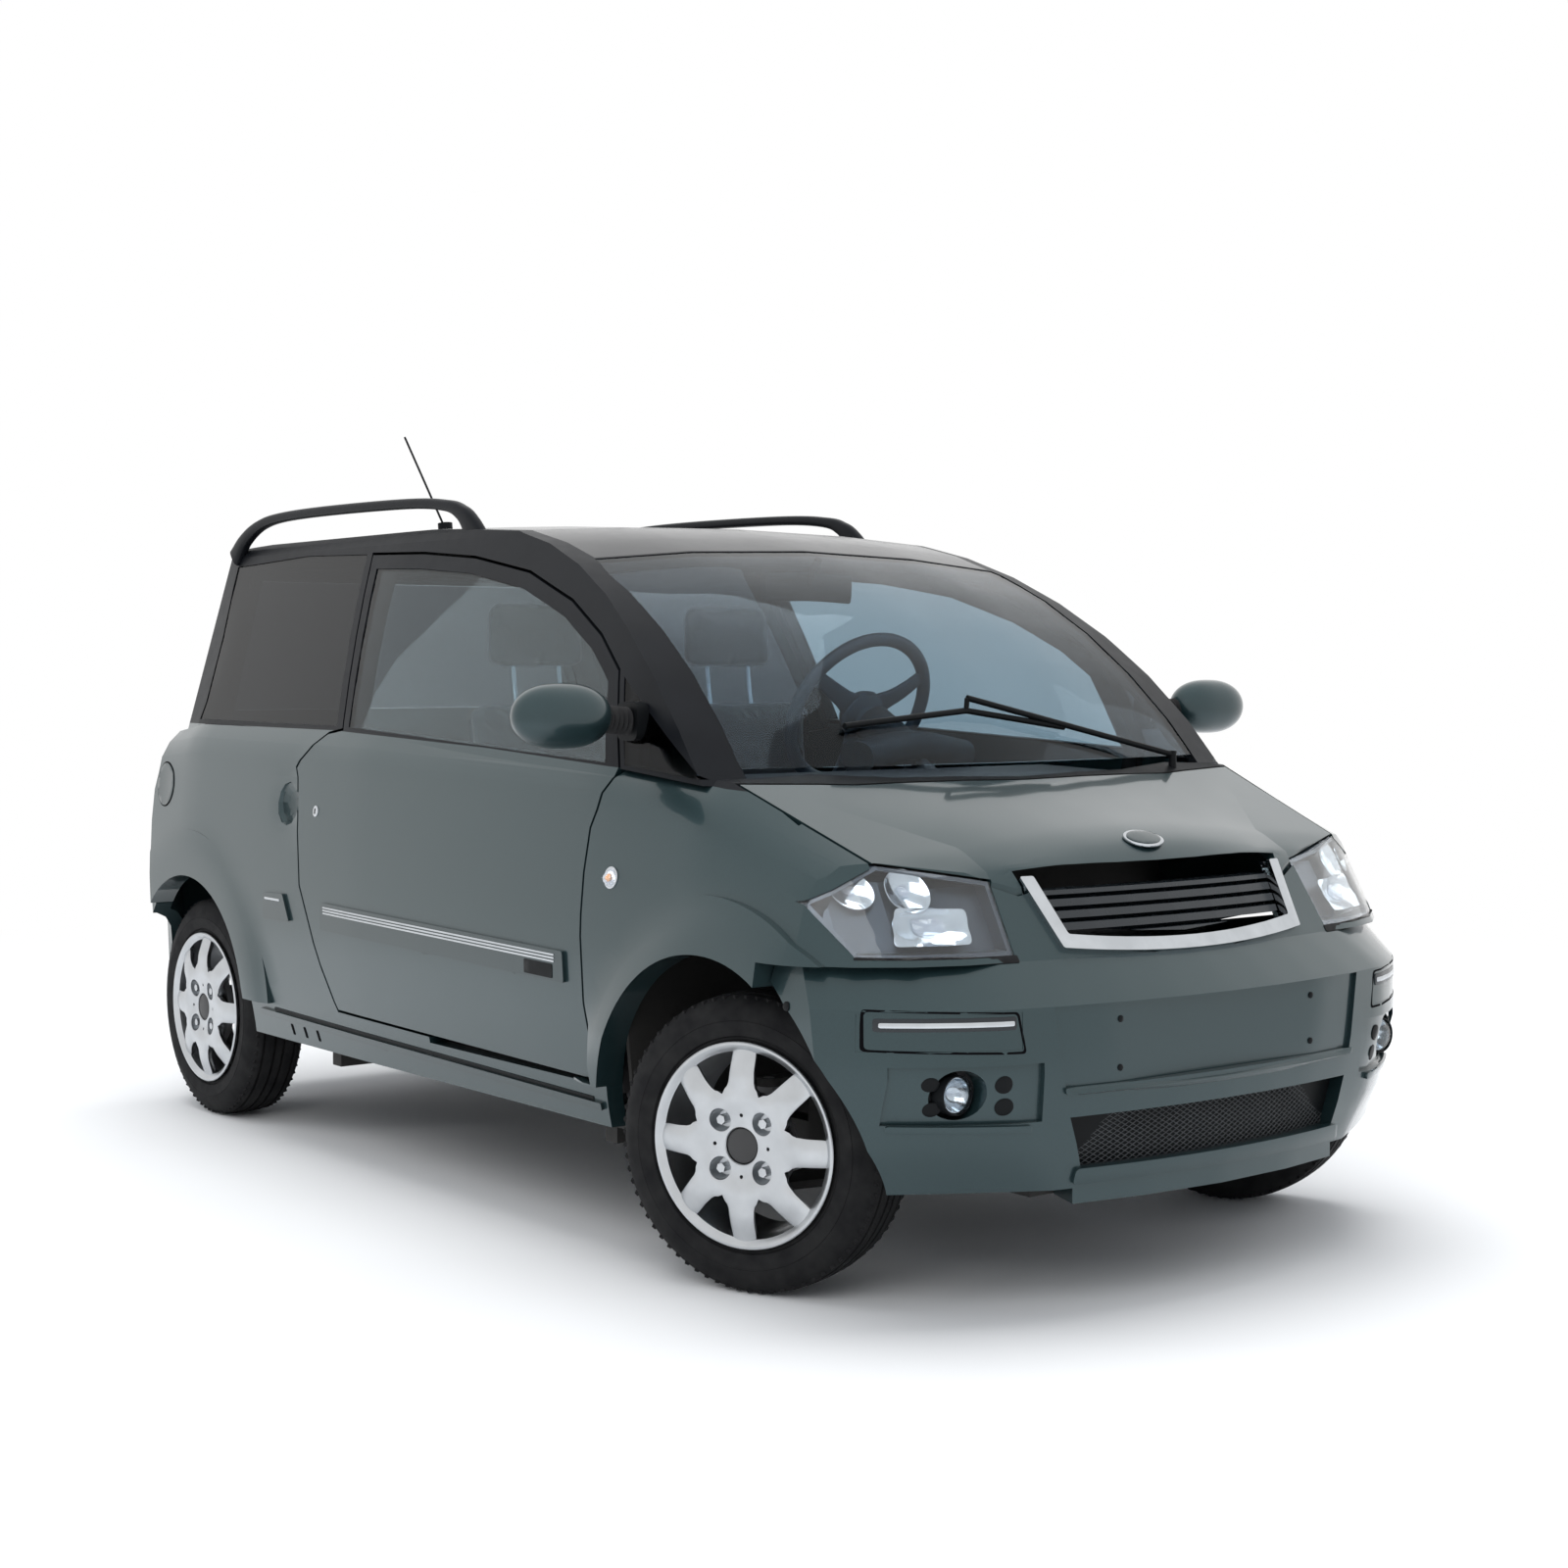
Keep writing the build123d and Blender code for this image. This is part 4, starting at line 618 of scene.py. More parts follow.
def between_creases(point: Point) -> int:
    """Which part of the bonnet a point lies on: 0 between the creases, or a side."""
    half = height_on(CREASE, point[0])
    return int(point[1] > half) - int(point[1] < -half)


LIFTED_EDGE = 0.016         # longest edge of the lifted bonnet
EDGE_SHARE = 0.8            # longest edge of other panels, as a share of their smoothing


@dataclass
class CadFinish:
    """What a CAD node that stays in view gets: its finish, or a smooth copy in its place."""

    node: str
    material: str
    body: Body = Body.CAR
    smooth: float = 0.0
    crease: float = 28.0
    above_belt: str = ""
    lift: Optional[Callable[[Vector], float]] = None

    def dress(self) -> None:
        """Give the node its finish, on a smooth copy where one is asked for."""
        source = bpy.data.objects[self.node]
        if not self.smooth:
            source.data.materials.clear()
            source.data.materials.append(finish(self.material))
            return
        mesh = merged_copy(self.node)
        mesh.materials.clear()
        if self.above_belt:
            cut_along(mesh, BELT)
        if self.lift:
            cut_along(mesh, CREASE, True)
        split_long(mesh, LIFTED_EDGE if self.lift else self.smooth * EDGE_SHARE)
        if self.lift:
            for vertex in mesh.vertices:
                vertex.co.z += self.lift(vertex.co)
        smooth_normals(mesh, self.smooth, self.crease, between_creases if self.lift else None)
        mesh.materials.append(finish(self.material))
        if self.above_belt:
            mesh.materials.append(finish(self.above_belt))
            for face in mesh.polygons:
                face.material_index = int(face.center.z > height_on(BELT, face.center.x))
        replacing(self.node + "_skin", mesh, self.node, self.material, self.body)


# Outlines filled with an even mesh


def inside(points: np.ndarray, loop: np.ndarray) -> np.ndarray:
    """Which points lie inside a closed outline.

    Args:
        points: Plane points, one a row.
        loop: The outline's corners.

    Returns:
        One truth value a point.
    """
    x, y = points[:, 0:1], points[:, 1:2]
    ax, ay = loop[:, 0], loop[:, 1]
    bx, by = np.roll(ax, -1), np.roll(ay, -1)
    crosses = (ay > y) != (by > y)
    with np.errstate(divide="ignore", invalid="ignore"):
        at = ax + (y - ay) * (bx - ax) / (by - ay)
    return (crosses & (x < at)).sum(axis=1) % 2 == 1


def stepped(loop: Sequence[Sequence[float]], step: float) -> np.ndarray:
    """An outline with points no further apart than a step."""
    result = []
    for a, b in zip(loop, list(loop[1:]) + [loop[0]]):
        a, b = np.array(a[:2], float), np.array(b[:2], float)
        count = max(1, int(math.ceil(np.linalg.norm(b - a) / step)))
        result += [a + (b - a) * i / count for i in range(count)]
    return np.array(result)


ROW_SHARE = 0.87            # height of a row of even triangles, as a share of their step
CLEAR_SHARE = 0.55          # inner points keep this share of a step from the outlines


def filled(loops: Sequence[Sequence[Sequence[float]]], step: float
           ) -> tuple[np.ndarray, list[tuple[int, int, int]]]:
    """Fill the first outline, less the others, with triangles of an even size.

    Args:
        loops: The outer outline, then the holes.
        step: The distance between points.

    Returns:
        The plane points and the triangles.
    """
    rings = [stepped(loop, step) for loop in loops]
    low, high = rings[0].min(0), rings[0].max(0)
    rows = np.arange(low[1] + step * 0.5, high[1], step * ROW_SHARE)
    grid = [(x, y) for i, y in enumerate(rows)
            for x in np.arange(low[0] + (step * 0.5) * (i % 2), high[0], step)]
    grid = np.array(grid) if grid else np.empty((0, 2))
    keep = inside(grid, rings[0])
    for ring in rings[1:]:
        keep &= ~inside(grid, ring)
    edge = np.concatenate(rings)
    near = np.array([np.min(np.hypot(*(edge - p).T)) if ok else 0.0 for p, ok in zip(grid, keep)])
    grid = grid[keep & (near > step * CLEAR_SHARE)]
    points = [Vector(p) for p in np.concatenate([edge, grid])]
    edges, start = [], 0
    for ring in rings:
        n = len(ring)
        edges += [(start + i, start + (i + 1) % n) for i in range(n)]
        start += n
    found = delaunay_2d_cdt(points, edges, [], 0, 1e-7)
    flat = np.array([tuple(p) for p in found[0]])
    middles = np.array([flat[list(face)].mean(0) for face in found[2]])
    good = inside(middles, rings[0])
    for ring in rings[1:]:
        good &= ~inside(middles, ring)
    faces = []
    for face, ok in zip(found[2], good):
        a, b, c = (flat[i] for i in face)
        if ok:
            turn = (b[0] - a[0]) * (c[1] - a[1]) - (b[1] - a[1]) * (c[0] - a[0])
            faces.append(tuple(face) if turn > 0 else tuple(face[::-1]))
    return flat, faces


def plate(name: str, loops: Sequence[Sequence[Sequence[float]]], step: float,
          place: Callable[[float, float], Point], thickness: float, bevel: float = 0.0,
          segments: int = 2) -> bpy.types.Mesh:
    """A plate of even thickness that follows a surface, with rounded edges.

    Args:
        name: The mesh's name.
        loops: The outer outline and the holes, in the plate's own plane.
        step: The distance between points.
        place: Turns a plane point into a point of the outer surface.
        thickness: Wall, measured inwards.
        bevel: Width of the rounded edge.
        segments: Facets of the rounded edge.

    Returns:
        The finished mesh.
    """
    flat, faces = filled(loops, step)
    mesh = bpy.data.meshes.new(name)
    mesh.from_pydata([place(float(u), float(v)) for u, v in flat], [], faces)
    return finished(mesh, thickness, bevel, segments)


def finished(mesh: bpy.types.Mesh, thickness: float = 0.0, bevel: float = 0.0,
             segments: int = 2, subdivide: int = 0, even: bool = True) -> bpy.types.Mesh:
    """Apply a wall, rounded edges and subdivision to a mesh.

    Args:
        mesh: The mesh to finish; it is used up.
        thickness: Wall, measured inwards, or 0 for none.
        bevel: Width of rounded edges, or 0 for none.
        segments: Facets of each rounded edge.
        subdivide: Levels of subdivision.
        even: Keep the wall even where faces meet at an angle.

    Returns:
        A new mesh with smooth faces.
    """
    carrier = carried(mesh.name + "_work", mesh)
    if thickness:
        wall = carrier.modifiers.new("wall", "SOLIDIFY")
        wall.thickness = thickness
        wall.offset = -1.0
        wall.use_even_offset = even
    if bevel:
        edge = carrier.modifiers.new("edge", "BEVEL")
        edge.width = bevel
        edge.segments = segments
        edge.limit_method = "ANGLE"
        edge.angle_limit = math.radians(EDGE_ANGLE)
    if subdivide:
        fine = carrier.modifiers.new("fine", "SUBSURF")
        fine.levels = fine.render_levels = subdivide
    result = evaluated(carrier)
    result.name = mesh.name
    bpy.data.objects.remove(carrier)
    return shaded(result, EDGE_ANGLE)


def turned(name: str, profile: Sequence[tuple[float, float]], segments: int = 96
           ) -> bpy.types.Mesh:
    """A closed (radius, along) profile turned about the Y axis.

    Args:
        name: The mesh's name.
        profile: The closed profile in metres.
        segments: Facets round the axis.

    Returns:
        The mesh, with faces that point outwards.
    """
    mesh = bpy.data.meshes.new(name)
    count = len(profile)
    with editing(mesh) as bm:
        rings = []
        for i in range(segments):
            angle = math.tau * i / segments
            rings.append([bm.verts.new((r * math.cos(angle), y, r * math.sin(angle)))
                          for r, y in profile])
        for i in range(segments):
            a, b = rings[i], rings[(i + 1) % segments]
            for j in range(count):
                k = (j + 1) % count
                if max(profile[j][0], profile[k][0]) >= TINY:
                    bm.faces.new((a[j], a[k], b[k], b[j]))
        bmesh.ops.remove_doubles(bm, verts=bm.verts, dist=TINY)
        bmesh.ops.recalc_face_normals(bm, faces=bm.faces)
    return shaded(mesh, TURNED_ANGLE)


def joined(name: str, meshes: Sequence[bpy.types.Mesh]) -> bpy.types.Mesh:
    """Several meshes as one, with each one's material kept.

    Args:
        name: The new mesh's name.
        meshes: The meshes; they are used up.

    Returns:
        The joined mesh.
    """
    bm = bmesh.new()
    materials: list[bpy.types.Material] = []
    for mesh in meshes:
        start = len(bm.faces)
        bm.from_mesh(mesh)
        bm.faces.ensure_lookup_table()
        slots = []
        for material in mesh.materials:
            if material not in materials:
                materials.append(material)
            slots.append(materials.index(material))
        for face in bm.faces[start:]:
            face.material_index = slots[min(face.material_index, len(slots) - 1)] if slots else 0
    result = bpy.data.meshes.new(name)
    bm.to_mesh(result)
    bm.free()
    for material in materials:
        result.materials.append(material)
    return result


def painted(mesh: bpy.types.Mesh, material: str) -> bpy.types.Mesh:
    """The mesh with one finish on it."""
    mesh.materials.clear()
    mesh.materials.append(finish(material))
    return mesh


def moved(mesh: bpy.types.Mesh, matrix: Matrix) -> bpy.types.Mesh:
    """The mesh, moved by a matrix."""
    mesh.transform(matrix)
    return mesh


# Outlines


def oval(u: float, v: float, ru: float, rv: Optional[float] = None, count: int = 28) -> Outline:
    """A round or oval outline about a point."""
    rv = ru if rv is None else rv
    return [(u + ru * math.cos(math.tau * i / count), v + rv * math.sin(math.tau * i / count))
            for i in range(count)]


def rounded(corners: Sequence[tuple[float, float]], radius: float, steps: int = 4) -> Outline:
    """A closed outline with its corners rounded.

    Args:
        corners: The sharp corners in order.
        radius: How far from each corner its curve begins.
        steps: Segments of each curve.

    Returns:
        The outline.
    """
    result = []
    for i, corner in enumerate(corners):
        here = Vector(corner)
        before, after = Vector(corners[i - 1]), Vector(corners[(i + 1) % len(corners)])
        start = here + (before - here).normalized() * radius
        end = here + (after - here).normalized() * radius
        for k in range(steps + 1):
            t = k / steps
            point = start * (1 - t) ** 2 + here * 2 * t * (1 - t) + end * t ** 2
            result.append((point.x, point.y))
    return result


def box(u0: float, v0: float, u1: float, v1: float, radius: float = 0.004) -> Outline:
    """A rounded rectangle from two opposite corners."""
    return rounded([(u0, v0), (u1, v0), (u1, v1), (u0, v1)], radius)


# Places on the body


class View(Enum):
    """The directions that outlines are drawn from: where u and v go and the way in."""

    RIGHT = ("x", "z", (0.0, 1.0, 0.0))
    LEFT = ("x", "z", (0.0, -1.0, 0.0))
    FRONT = ("y", "z", (-1.0, 0.0, 0.0))
    BACK = ("y", "z", (1.0, 0.0, 0.0))
    TOP = ("x", "y", (0.0, 0.0, -1.0))


SIDES = (View.RIGHT, View.LEFT)
FAR = 2.5                   # how far out the looks start
LEAP = 0.15                 # hits further than this from the middle one miss the panel
STRAY = 0.004               # hits further than this from the fitted surface lie in a gap
SPREADS = 2.5               # or further than this many times the middle error
FITS = 4                    # rounds of fitting
CARRIERS = ("door_right", "door_left", "bonnet", "tailgate", "quarter_panels", "wings",
            "nose_panel", "sills", "rear_bumper", "front_bumper", "bumper_inserts", "roof_panel",
            "pillars", "scuttle", "tail_lamps", "headlamp_lenses", "windscreen",
            "tailgate_glass", "door_glass_right", "door_glass_left")


class Panels:
    """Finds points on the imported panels, so that each trim sits on what carries it."""

    def __init__(self, nodes: Sequence[str] = CARRIERS) -> None:
        """Gather some nodes' triangles.

        Args:
            nodes: The nodes' names; the outer panels if left out.
        """
        points: list[Vector] = []
        faces: list[list[int]] = []
        for node in nodes:
            mesh = bpy.data.objects[node].data
            start = len(points)
            points += [v.co.copy() for v in mesh.vertices]
            faces += [[start + i for i in polygon.vertices] for polygon in mesh.polygons]
        self.tree = BVHTree.FromPolygons(points, faces)

    def points(self, view: View, flat: np.ndarray, offs: np.ndarray) -> np.ndarray:
        """The points of the body behind some points of a view, bridging gaps and slots.

        Args:
            view: The direction of the look.
            flat: The points in the view's plane.
            offs: How far outwards each result lies, or inwards if negative.

        Returns:
            The points.
        """
        first, second, ahead = view.value
        inward = Vector(ahead)
        starts = np.tile(np.array(inward) * -FAR, (len(flat), 1))
        starts[:, "xyz".index(first)] = flat[:, 0]
        starts[:, "xyz".index(second)] = flat[:, 1]
        hits = [self.tree.ray_cast(Vector(start), inward)[3] for start in starts]
        depths = np.array([np.nan if hit is None else hit for hit in hits])
        u, v = (flat - flat.mean(0)).T
        terms = np.column_stack([np.ones(len(flat)), u, v, u * u, u * v, v * v])
        good = ~np.isnan(depths)
        level = np.median(depths[good])
        good &= np.abs(np.nan_to_num(depths) - level) < LEAP
        for _ in range(FITS):
            fitted = terms @ np.linalg.lstsq(terms[good], depths[good], rcond=None)[0]
            error = np.abs(np.nan_to_num(depths, nan=FAR) - fitted)
            good = error < max(STRAY, SPREADS * float(np.median(error[good])))
        near = error < max(STRAY, SPREADS * float(np.median(error[good])))
        depths = np.where(near, depths, fitted)
        return starts + np.outer(depths - offs, np.array(inward))


@dataclass
class Trim:
    """A thin piece that lies on the body: drawn as an outline in one or more views."""

    name: str
    views: tuple[View, ...]
    loops: list[Outline]
    material: str
    stand: float = 0.002
    wall: float = 0.004
    edge: float = 0.0008
    dome: float = 0.0
    step: float = 0.02
    on_door: bool = False
    paired: bool = False
    body: Body = Body.CAR
    slot: str = ""

    def build(self, panels: Panels) -> None:
        """Make the piece in each view, and its pair across the car where it has one."""
        for view in self.views:
            suffix = "" if len(self.views) == 1 else "_" + view.name.lower()
            self._one(panels, view, self.loops, self.name + suffix)
            if self.paired:
                across = view.value.index("y")
                flipped = [[(-u, v) if across == 0 else (u, -v) for u, v in loop[::-1]]
                           for loop in self.loops]
                self._one(panels, view, flipped, self.name + "_pair")

    def _one(self, panels: Panels, view: View, loops: list[Outline], name: str) -> None:
        """Make one piece."""
        flat, faces = filled(loops, self.step)
        outer = np.array(loops[0])
        middle = (outer.min(0) + outer.max(0)) / 2
        reach = (outer.max(0) - outer.min(0)) / 2
        out = (((flat - middle) / reach) ** 2).sum(1)
        offs = self.stand + self.dome * np.maximum(0.0, 1.0 - out)
        places = panels.points(view, flat, offs).tolist()
        if view in (View.LEFT, View.BACK):
            faces = [face[::-1] for face in faces]
        mesh = bpy.data.meshes.new(name)
        mesh.from_pydata(places, [], faces)
        mesh = finished(mesh, self.wall, self.edge, even=False)
        body = self.body
        if self.on_door:
            body = Body.DOOR_RIGHT if view is View.RIGHT else Body.DOOR_LEFT
        new_object(name, mesh, self.material, body, self.slot)


def flowing(points: Sequence[Point], count: int, closed: bool = False) -> np.ndarray:
    """A smooth line through some points.

    Args:
        points: What the line goes through.
        count: How many points the result has.
        closed: Whether the line returns to its start.

    Returns:
        The line's points.
    """
    given = np.array(points, float)
    if closed:
        given = np.concatenate([given[-1:], given, given[:2]])
    else:
        given = np.concatenate([2 * given[:1] - given[1:2], given, 2 * given[-1:] - given[-2:-1]])
    spans = len(given) - 3
    result = []
    for at in np.linspace(0.0, spans, count, endpoint=not closed):
        i = min(int(at), spans - 1)
        t = at - i
        a, b, c, d = given[i:i + 4]
        result.append(0.5 * (2 * b + (c - a) * t + (2 * a - 5 * b + 4 * c - d) * t ** 2
                             + (3 * b - a - 3 * c + d) * t ** 3))
    return np.array(result)


def swept(name: str, path: np.ndarray, sizes: np.ndarray, up: Point, power: float = 2.0,
          sides: int = 20, closed: bool = False) -> bpy.types.Mesh:
    """A form drawn along a path, with an oval or squarish section.

    Args:
        name: The mesh's name.
        path: Points along its middle line.
        sizes: Half width and half height, for all of it or one row a point.
        up: The direction that the height lies nearest to.
        power: 2 for an oval section, more for a squarer one.
        sides: Facets round the section.
        closed: Whether the path returns to its start.

    Returns:
        The mesh.
    """
    sizes = np.broadcast_to(np.array(sizes, float), (len(path), 2))
    ahead = np.roll(path, -1, 0) - np.roll(path, 1, 0) if closed else np.gradient(path, axis=0)
    ahead /= np.linalg.norm(ahead, axis=1)[:, None]
    across = np.cross(ahead, np.array(up, float))
    across /= np.linalg.norm(across, axis=1)[:, None]
    rise = np.cross(across, ahead)
    angles = np.linspace(0.0, math.tau, sides, endpoint=False)
    u, v = (np.sign(f) * np.abs(f) ** (2.0 / power) for f in (np.cos(angles), np.sin(angles)))
    rings = (path[:, None, :] + across[:, None, :] * (sizes[:, :1] * u)[:, :, None]
             + rise[:, None, :] * (sizes[:, 1:] * v)[:, :, None])
    count = len(path)
    faces: list[list[int]] = []
    for i in range(count if closed else count - 1):
        a, b = i * sides, ((i + 1) % count) * sides
        faces += [[a + j, a + (j + 1) % sides, b + (j + 1) % sides, b + j] for j in range(sides)]
    if not closed:
        faces += [list(range(sides)), list(range((count - 1) * sides, count * sides))]
    mesh = bpy.data.meshes.new(name)
    with editing(mesh) as bm:
        made = [bm.verts.new(point) for point in rings.reshape(-1, 3)]
        for face in faces:
            bm.faces.new([made[i] for i in face])
        bmesh.ops.recalc_face_normals(bm, faces=bm.faces)
    return shaded(mesh, SWEPT_ANGLE)


def mirrored_pair(name: str, mesh: bpy.types.Mesh) -> bpy.types.Mesh:
    """A mesh of the right side together with its mirror image on the left."""
    other = mesh.copy()
    other.transform(Matrix.Diagonal((1.0, -1.0, 1.0, 1.0)))
    other.flip_normals()
    return joined(name, [mesh, other])


UP = (0.0, 0.0, 1.0)
AHEAD = (1.0, 0.0, 0.0)

# Roof rail: middle line (x, z) and half heights
RAIL_LINE = [(-0.122, 1.350), (-0.160, 1.400), (-0.198, 1.429), (-0.262, 1.4475),
             (-0.430, 1.4595), (-0.800, 1.4635), (-1.055, 1.4595), (-1.178, 1.4450),
             (-1.264, 1.4130), (-1.320, 1.3700)]
RAIL_HALVES = [0.040, 0.026, 0.017, 0.0125, 0.0115, 0.0115, 0.0115, 0.0125, 0.017, 0.026]
RAIL_Y = -0.5265
RAIL_HALF_W = 0.0140
RAIL_POINTS = 72


def roof_rails() -> bpy.types.Mesh:
    """Both roof rails as smooth bows that widen into their feet."""
    path = flowing([(x, RAIL_Y, z) for x, z in RAIL_LINE], RAIL_POINTS)
    at = np.linspace(0.0, len(RAIL_HALVES) - 1, RAIL_POINTS)
    halves = np.interp(at, range(len(RAIL_HALVES)), RAIL_HALVES)
    sizes = np.column_stack([np.full(RAIL_POINTS, RAIL_HALF_W), halves])
    rail = painted(swept("rail", path, sizes, UP, 3.0, 24), "arch_satin")
    return mirrored_pair("roof_rail_bows", rail)


MIRROR_MIDDLE = (0.692, -0.842, 1.010)
MIRROR_HALF = (0.052, 0.101, 0.0590)
MIRROR_BACK = -0.030


def mirror_shells() -> bpy.types.Mesh:
    """Both door mirrors: a painted shell open to the rear, on a ribbed rubber neck."""
    rings, sides = 40, 64
    cx, cy, cz = MIRROR_MIDDLE
    rx, ry, rz = MIRROR_HALF
    mesh = bpy.data.meshes.new("shell")
    with editing(mesh) as bm:
        grid = []
        for i in range(rings + 1):
            along = -math.cos(math.pi * i / rings)
            reach = max(0.0, 1.0 - abs(along) ** 2.5) ** (1 / 2.1)
            row = []
            for j in range(sides):
                angle = math.tau * j / sides
                x = rx * math.cos(angle) * reach
                row.append(bm.verts.new((cx + max(x, MIRROR_BACK), cy + ry * along,
                                         cz + rz * math.sin(angle) * reach)))
            grid.append(row)
        for low, high in zip(grid, grid[1:]):
            for j in range(sides):
                k = (j + 1) % sides
                bm.faces.new((low[j], low[k], high[k], high[j]))
        bmesh.ops.remove_doubles(bm, verts=bm.verts, dist=THIN)
        bmesh.ops.dissolve_degenerate(bm, edges=bm.edges, dist=TINY)
        flat = [f for f in bm.faces if all(v.co.x < cx + MIRROR_BACK + THIN for v in f.verts)]
        bmesh.ops.delete(bm, geom=flat, context="FACES")
        bmesh.ops.recalc_face_normals(bm, faces=bm.faces)
        if sum(f.normal.x * f.calc_area() for f in bm.faces) < 0:
            bmesh.ops.reverse_faces(bm, faces=bm.faces)
    shell = painted(finished(mesh, 0.004, 0.0), "paint")
    path = np.linspace((cx - 0.002, cy + ry - 0.014, cz - 0.006),
                       (0.676, -0.664, cz - 0.014), 49)
    ribs = 0.0205 + 0.0022 * np.cos(np.arange(49) * math.pi / 3)
    neck = swept("neck", path, np.column_stack([ribs, ribs * 1.15]), UP, 2.2, 32)
    foot_path = np.linspace((0.676, -0.6900, cz - 0.012), (0.676, -0.664, cz - 0.012), 4)
    foot = swept("foot", foot_path, (0.034, 0.036), UP, 4.0, 32)
    parts = [shell, painted(neck, "seal"), painted(foot, "trim_black")]
    return mirrored_pair("mirror_shells", joined("mirror", parts))


FOG_PLACE = (1.424, -0.541, 0.394)


def about_x(mesh: bpy.types.Mesh, place: Point) -> bpy.types.Mesh:
    """A form turned about Y, laid so that its +Y end looks ahead at a place."""
    return moved(mesh, Matrix.Translation(place) @ Matrix.Rotation(-math.pi / 2, 4, "Z"))


# Fog lamp: name, finish, steps round and section (radius, along) of each part
FOG_PARTS = (
    ("pot", "trim_black", 48,
     ((0.0, -0.044), (0.041, -0.044), (0.041, -0.034), (0.0335, -0.030), (0.0335, 0.0010),
      (0.0315, 0.0020), (0.0300, -0.0010), (0.0295, -0.030), (0.0, -0.036))),
    ("dish", "reflector", 48,
     ((0.0, -0.030), (0.010, -0.028), (0.020, -0.019), (0.0275, -0.004), (0.0290, -0.004),
      (0.0290, -0.032), (0.0, -0.033))),
    ("bulb", "bulb", 24,
     ((0.0, -0.028), (0.0045, -0.028), (0.0050, -0.012), (0.0035, -0.008), (0.0, -0.007))),
    ("lens", "lens", 48,
     ((0.0, 0.0090), (0.010, 0.0082), (0.020, 0.0055), (0.0300, -0.0005), (0.0300, -0.0030),
      (0.020, 0.0030), (0.010, 0.0060), (0.0, 0.0068))),
)


def fog_lamps() -> bpy.types.Mesh:
    """Both fog lamps: a black pot, a bright dish, a bulb and a domed lens."""
    parts = [painted(about_x(turned(name, list(section), steps), FOG_PLACE), finish)
             for name, finish, steps, section in FOG_PARTS]
    return mirrored_pair("fog_lamp_units", joined("fog", parts))


# Grille surround, seen from the front (y, z)
SURROUND_TOP = (0.330, 0.739)
SURROUND_FOOT = (0.302, 0.622)
SURROUND_BOW = 0.016


def grille_surround() -> bpy.types.Mesh:
    """The bright frame round the grille's sides and foot, open at the top."""
    (yt, zt), (yf, zf) = SURROUND_TOP, SURROUND_FOOT
    across = np.linspace(-1.0, 1.0, 15)
    under = [(y * yf, zf - SURROUND_BOW * (1 - y * y)) for y in across]
    over = [(y * (yf - 0.021), zf + 0.021 - SURROUND_BOW * (1 - y * y)) for y in across[::-1]]
    outline = [(-yt, zt)] + under + [(yt, zt), (yt - 0.028, zt)] + over + [(0.028 - yt, zt)]
    flat, faces = filled([rounded(outline, 0.004)], 0.009)
    places = Panels(("grille_frame",)).points(View.FRONT, flat, np.full(len(flat), 0.004))
    mesh = bpy.data.meshes.new("grille_surround")
    mesh.from_pydata(places.tolist(), [], faces)
    return finished(mesh, 0.022, 0.0070, 5, even=False)


@dataclass
class Lattice:
    """Geometry Nodes that fill the lower air opening with a mesh of small diamonds."""

    columns: int = 43
    rows: int = 10
    pitch: tuple[float, float] = (0.0162, 0.0090)
    wire: float = 0.0011
    nose: float = 1.4985
    bow: float = 0.36
    height: float = 0.299

    def build(self) -> bpy.types.Mesh:
        """Run the tree and return its result as a plain mesh."""
        tree = NodeTree("lattice")
        columns = tree.number("Columns", "NodeSocketInt", self.columns)
        rows = tree.number("Rows", "NodeSocketInt", self.rows)
        wire = tree.number("Wire Radius", "NodeSocketFloat", self.wire)
        bow = tree.number("Bow", "NodeSocketFloat", self.bow)
        wide, tall = self.pitch
        ring = tree.out("GeometryNodeCurvePrimitiveCircle", Resolution=4, Radius=0.5)
        diamond = tree.out("GeometryNodeTransform", Geometry=ring, Scale=(wide, tall, 1.0))
        profile = tree.out("GeometryNodeCurvePrimitiveCircle", Resolution=5, Radius=wire)
        bars = tree.out("GeometryNodeCurveToMesh", Curve=diamond, Profile_Curve=profile)
        grid = tree.out("GeometryNodeMeshGrid", Size_X=wide * (self.columns - 1),
                        Size_Y=tall * (self.rows - 1), Vertices_X=columns, Vertices_Y=rows)
        copies = tree.out("GeometryNodeInstanceOnPoints", Points=grid, Instance=bars)
        upright = tree.out("GeometryNodeTransform", Geometry=copies,
                           Rotation=(math.pi / 2, 0.0, math.pi / 2),
                           Translation=(self.nose, 0.0, self.height))
        real = tree.out("GeometryNodeRealizeInstances", Geometry=upright)
        where = tree.out("GeometryNodeInputPosition")
        y = tree.node("ShaderNodeSeparateXYZ", Vector=where).outputs["Y"]
        square = tree.out("ShaderNodeMath", y, y, operation="MULTIPLY")
        back = tree.out("ShaderNodeMath", square, bow, operation="MULTIPLY")
        sign = tree.out("ShaderNodeMath", back, -1.0, operation="MULTIPLY")
        offset = tree.out("ShaderNodeCombineXYZ", X=sign)
        bent = tree.out("GeometryNodeSetPosition", Geometry=real, Offset=offset)
        return tree.result(bent, "mesh_black")


# Steering wheel: middle of the rim, radius, the rim's section, the spokes' angles, how far a spoke
# stands off the rim's plane from the hub outwards, its half thickness and the column's lean
STEER_MIDDLE = (0.205, 0.245, 1.000)
STEER_R = 0.178
STEER_SECTION = (0.0155, 0.0135)
STEER_SPOKES = (180.0, 300.0, 60.0)
SPOKE_DROPS = (-0.012, -0.012, -0.013, -0.014, -0.014, -0.012, -0.009, -0.004, 0.0)
SPOKE_THICK = 0.0065
COLUMN_LEAN = math.radians(28.0)


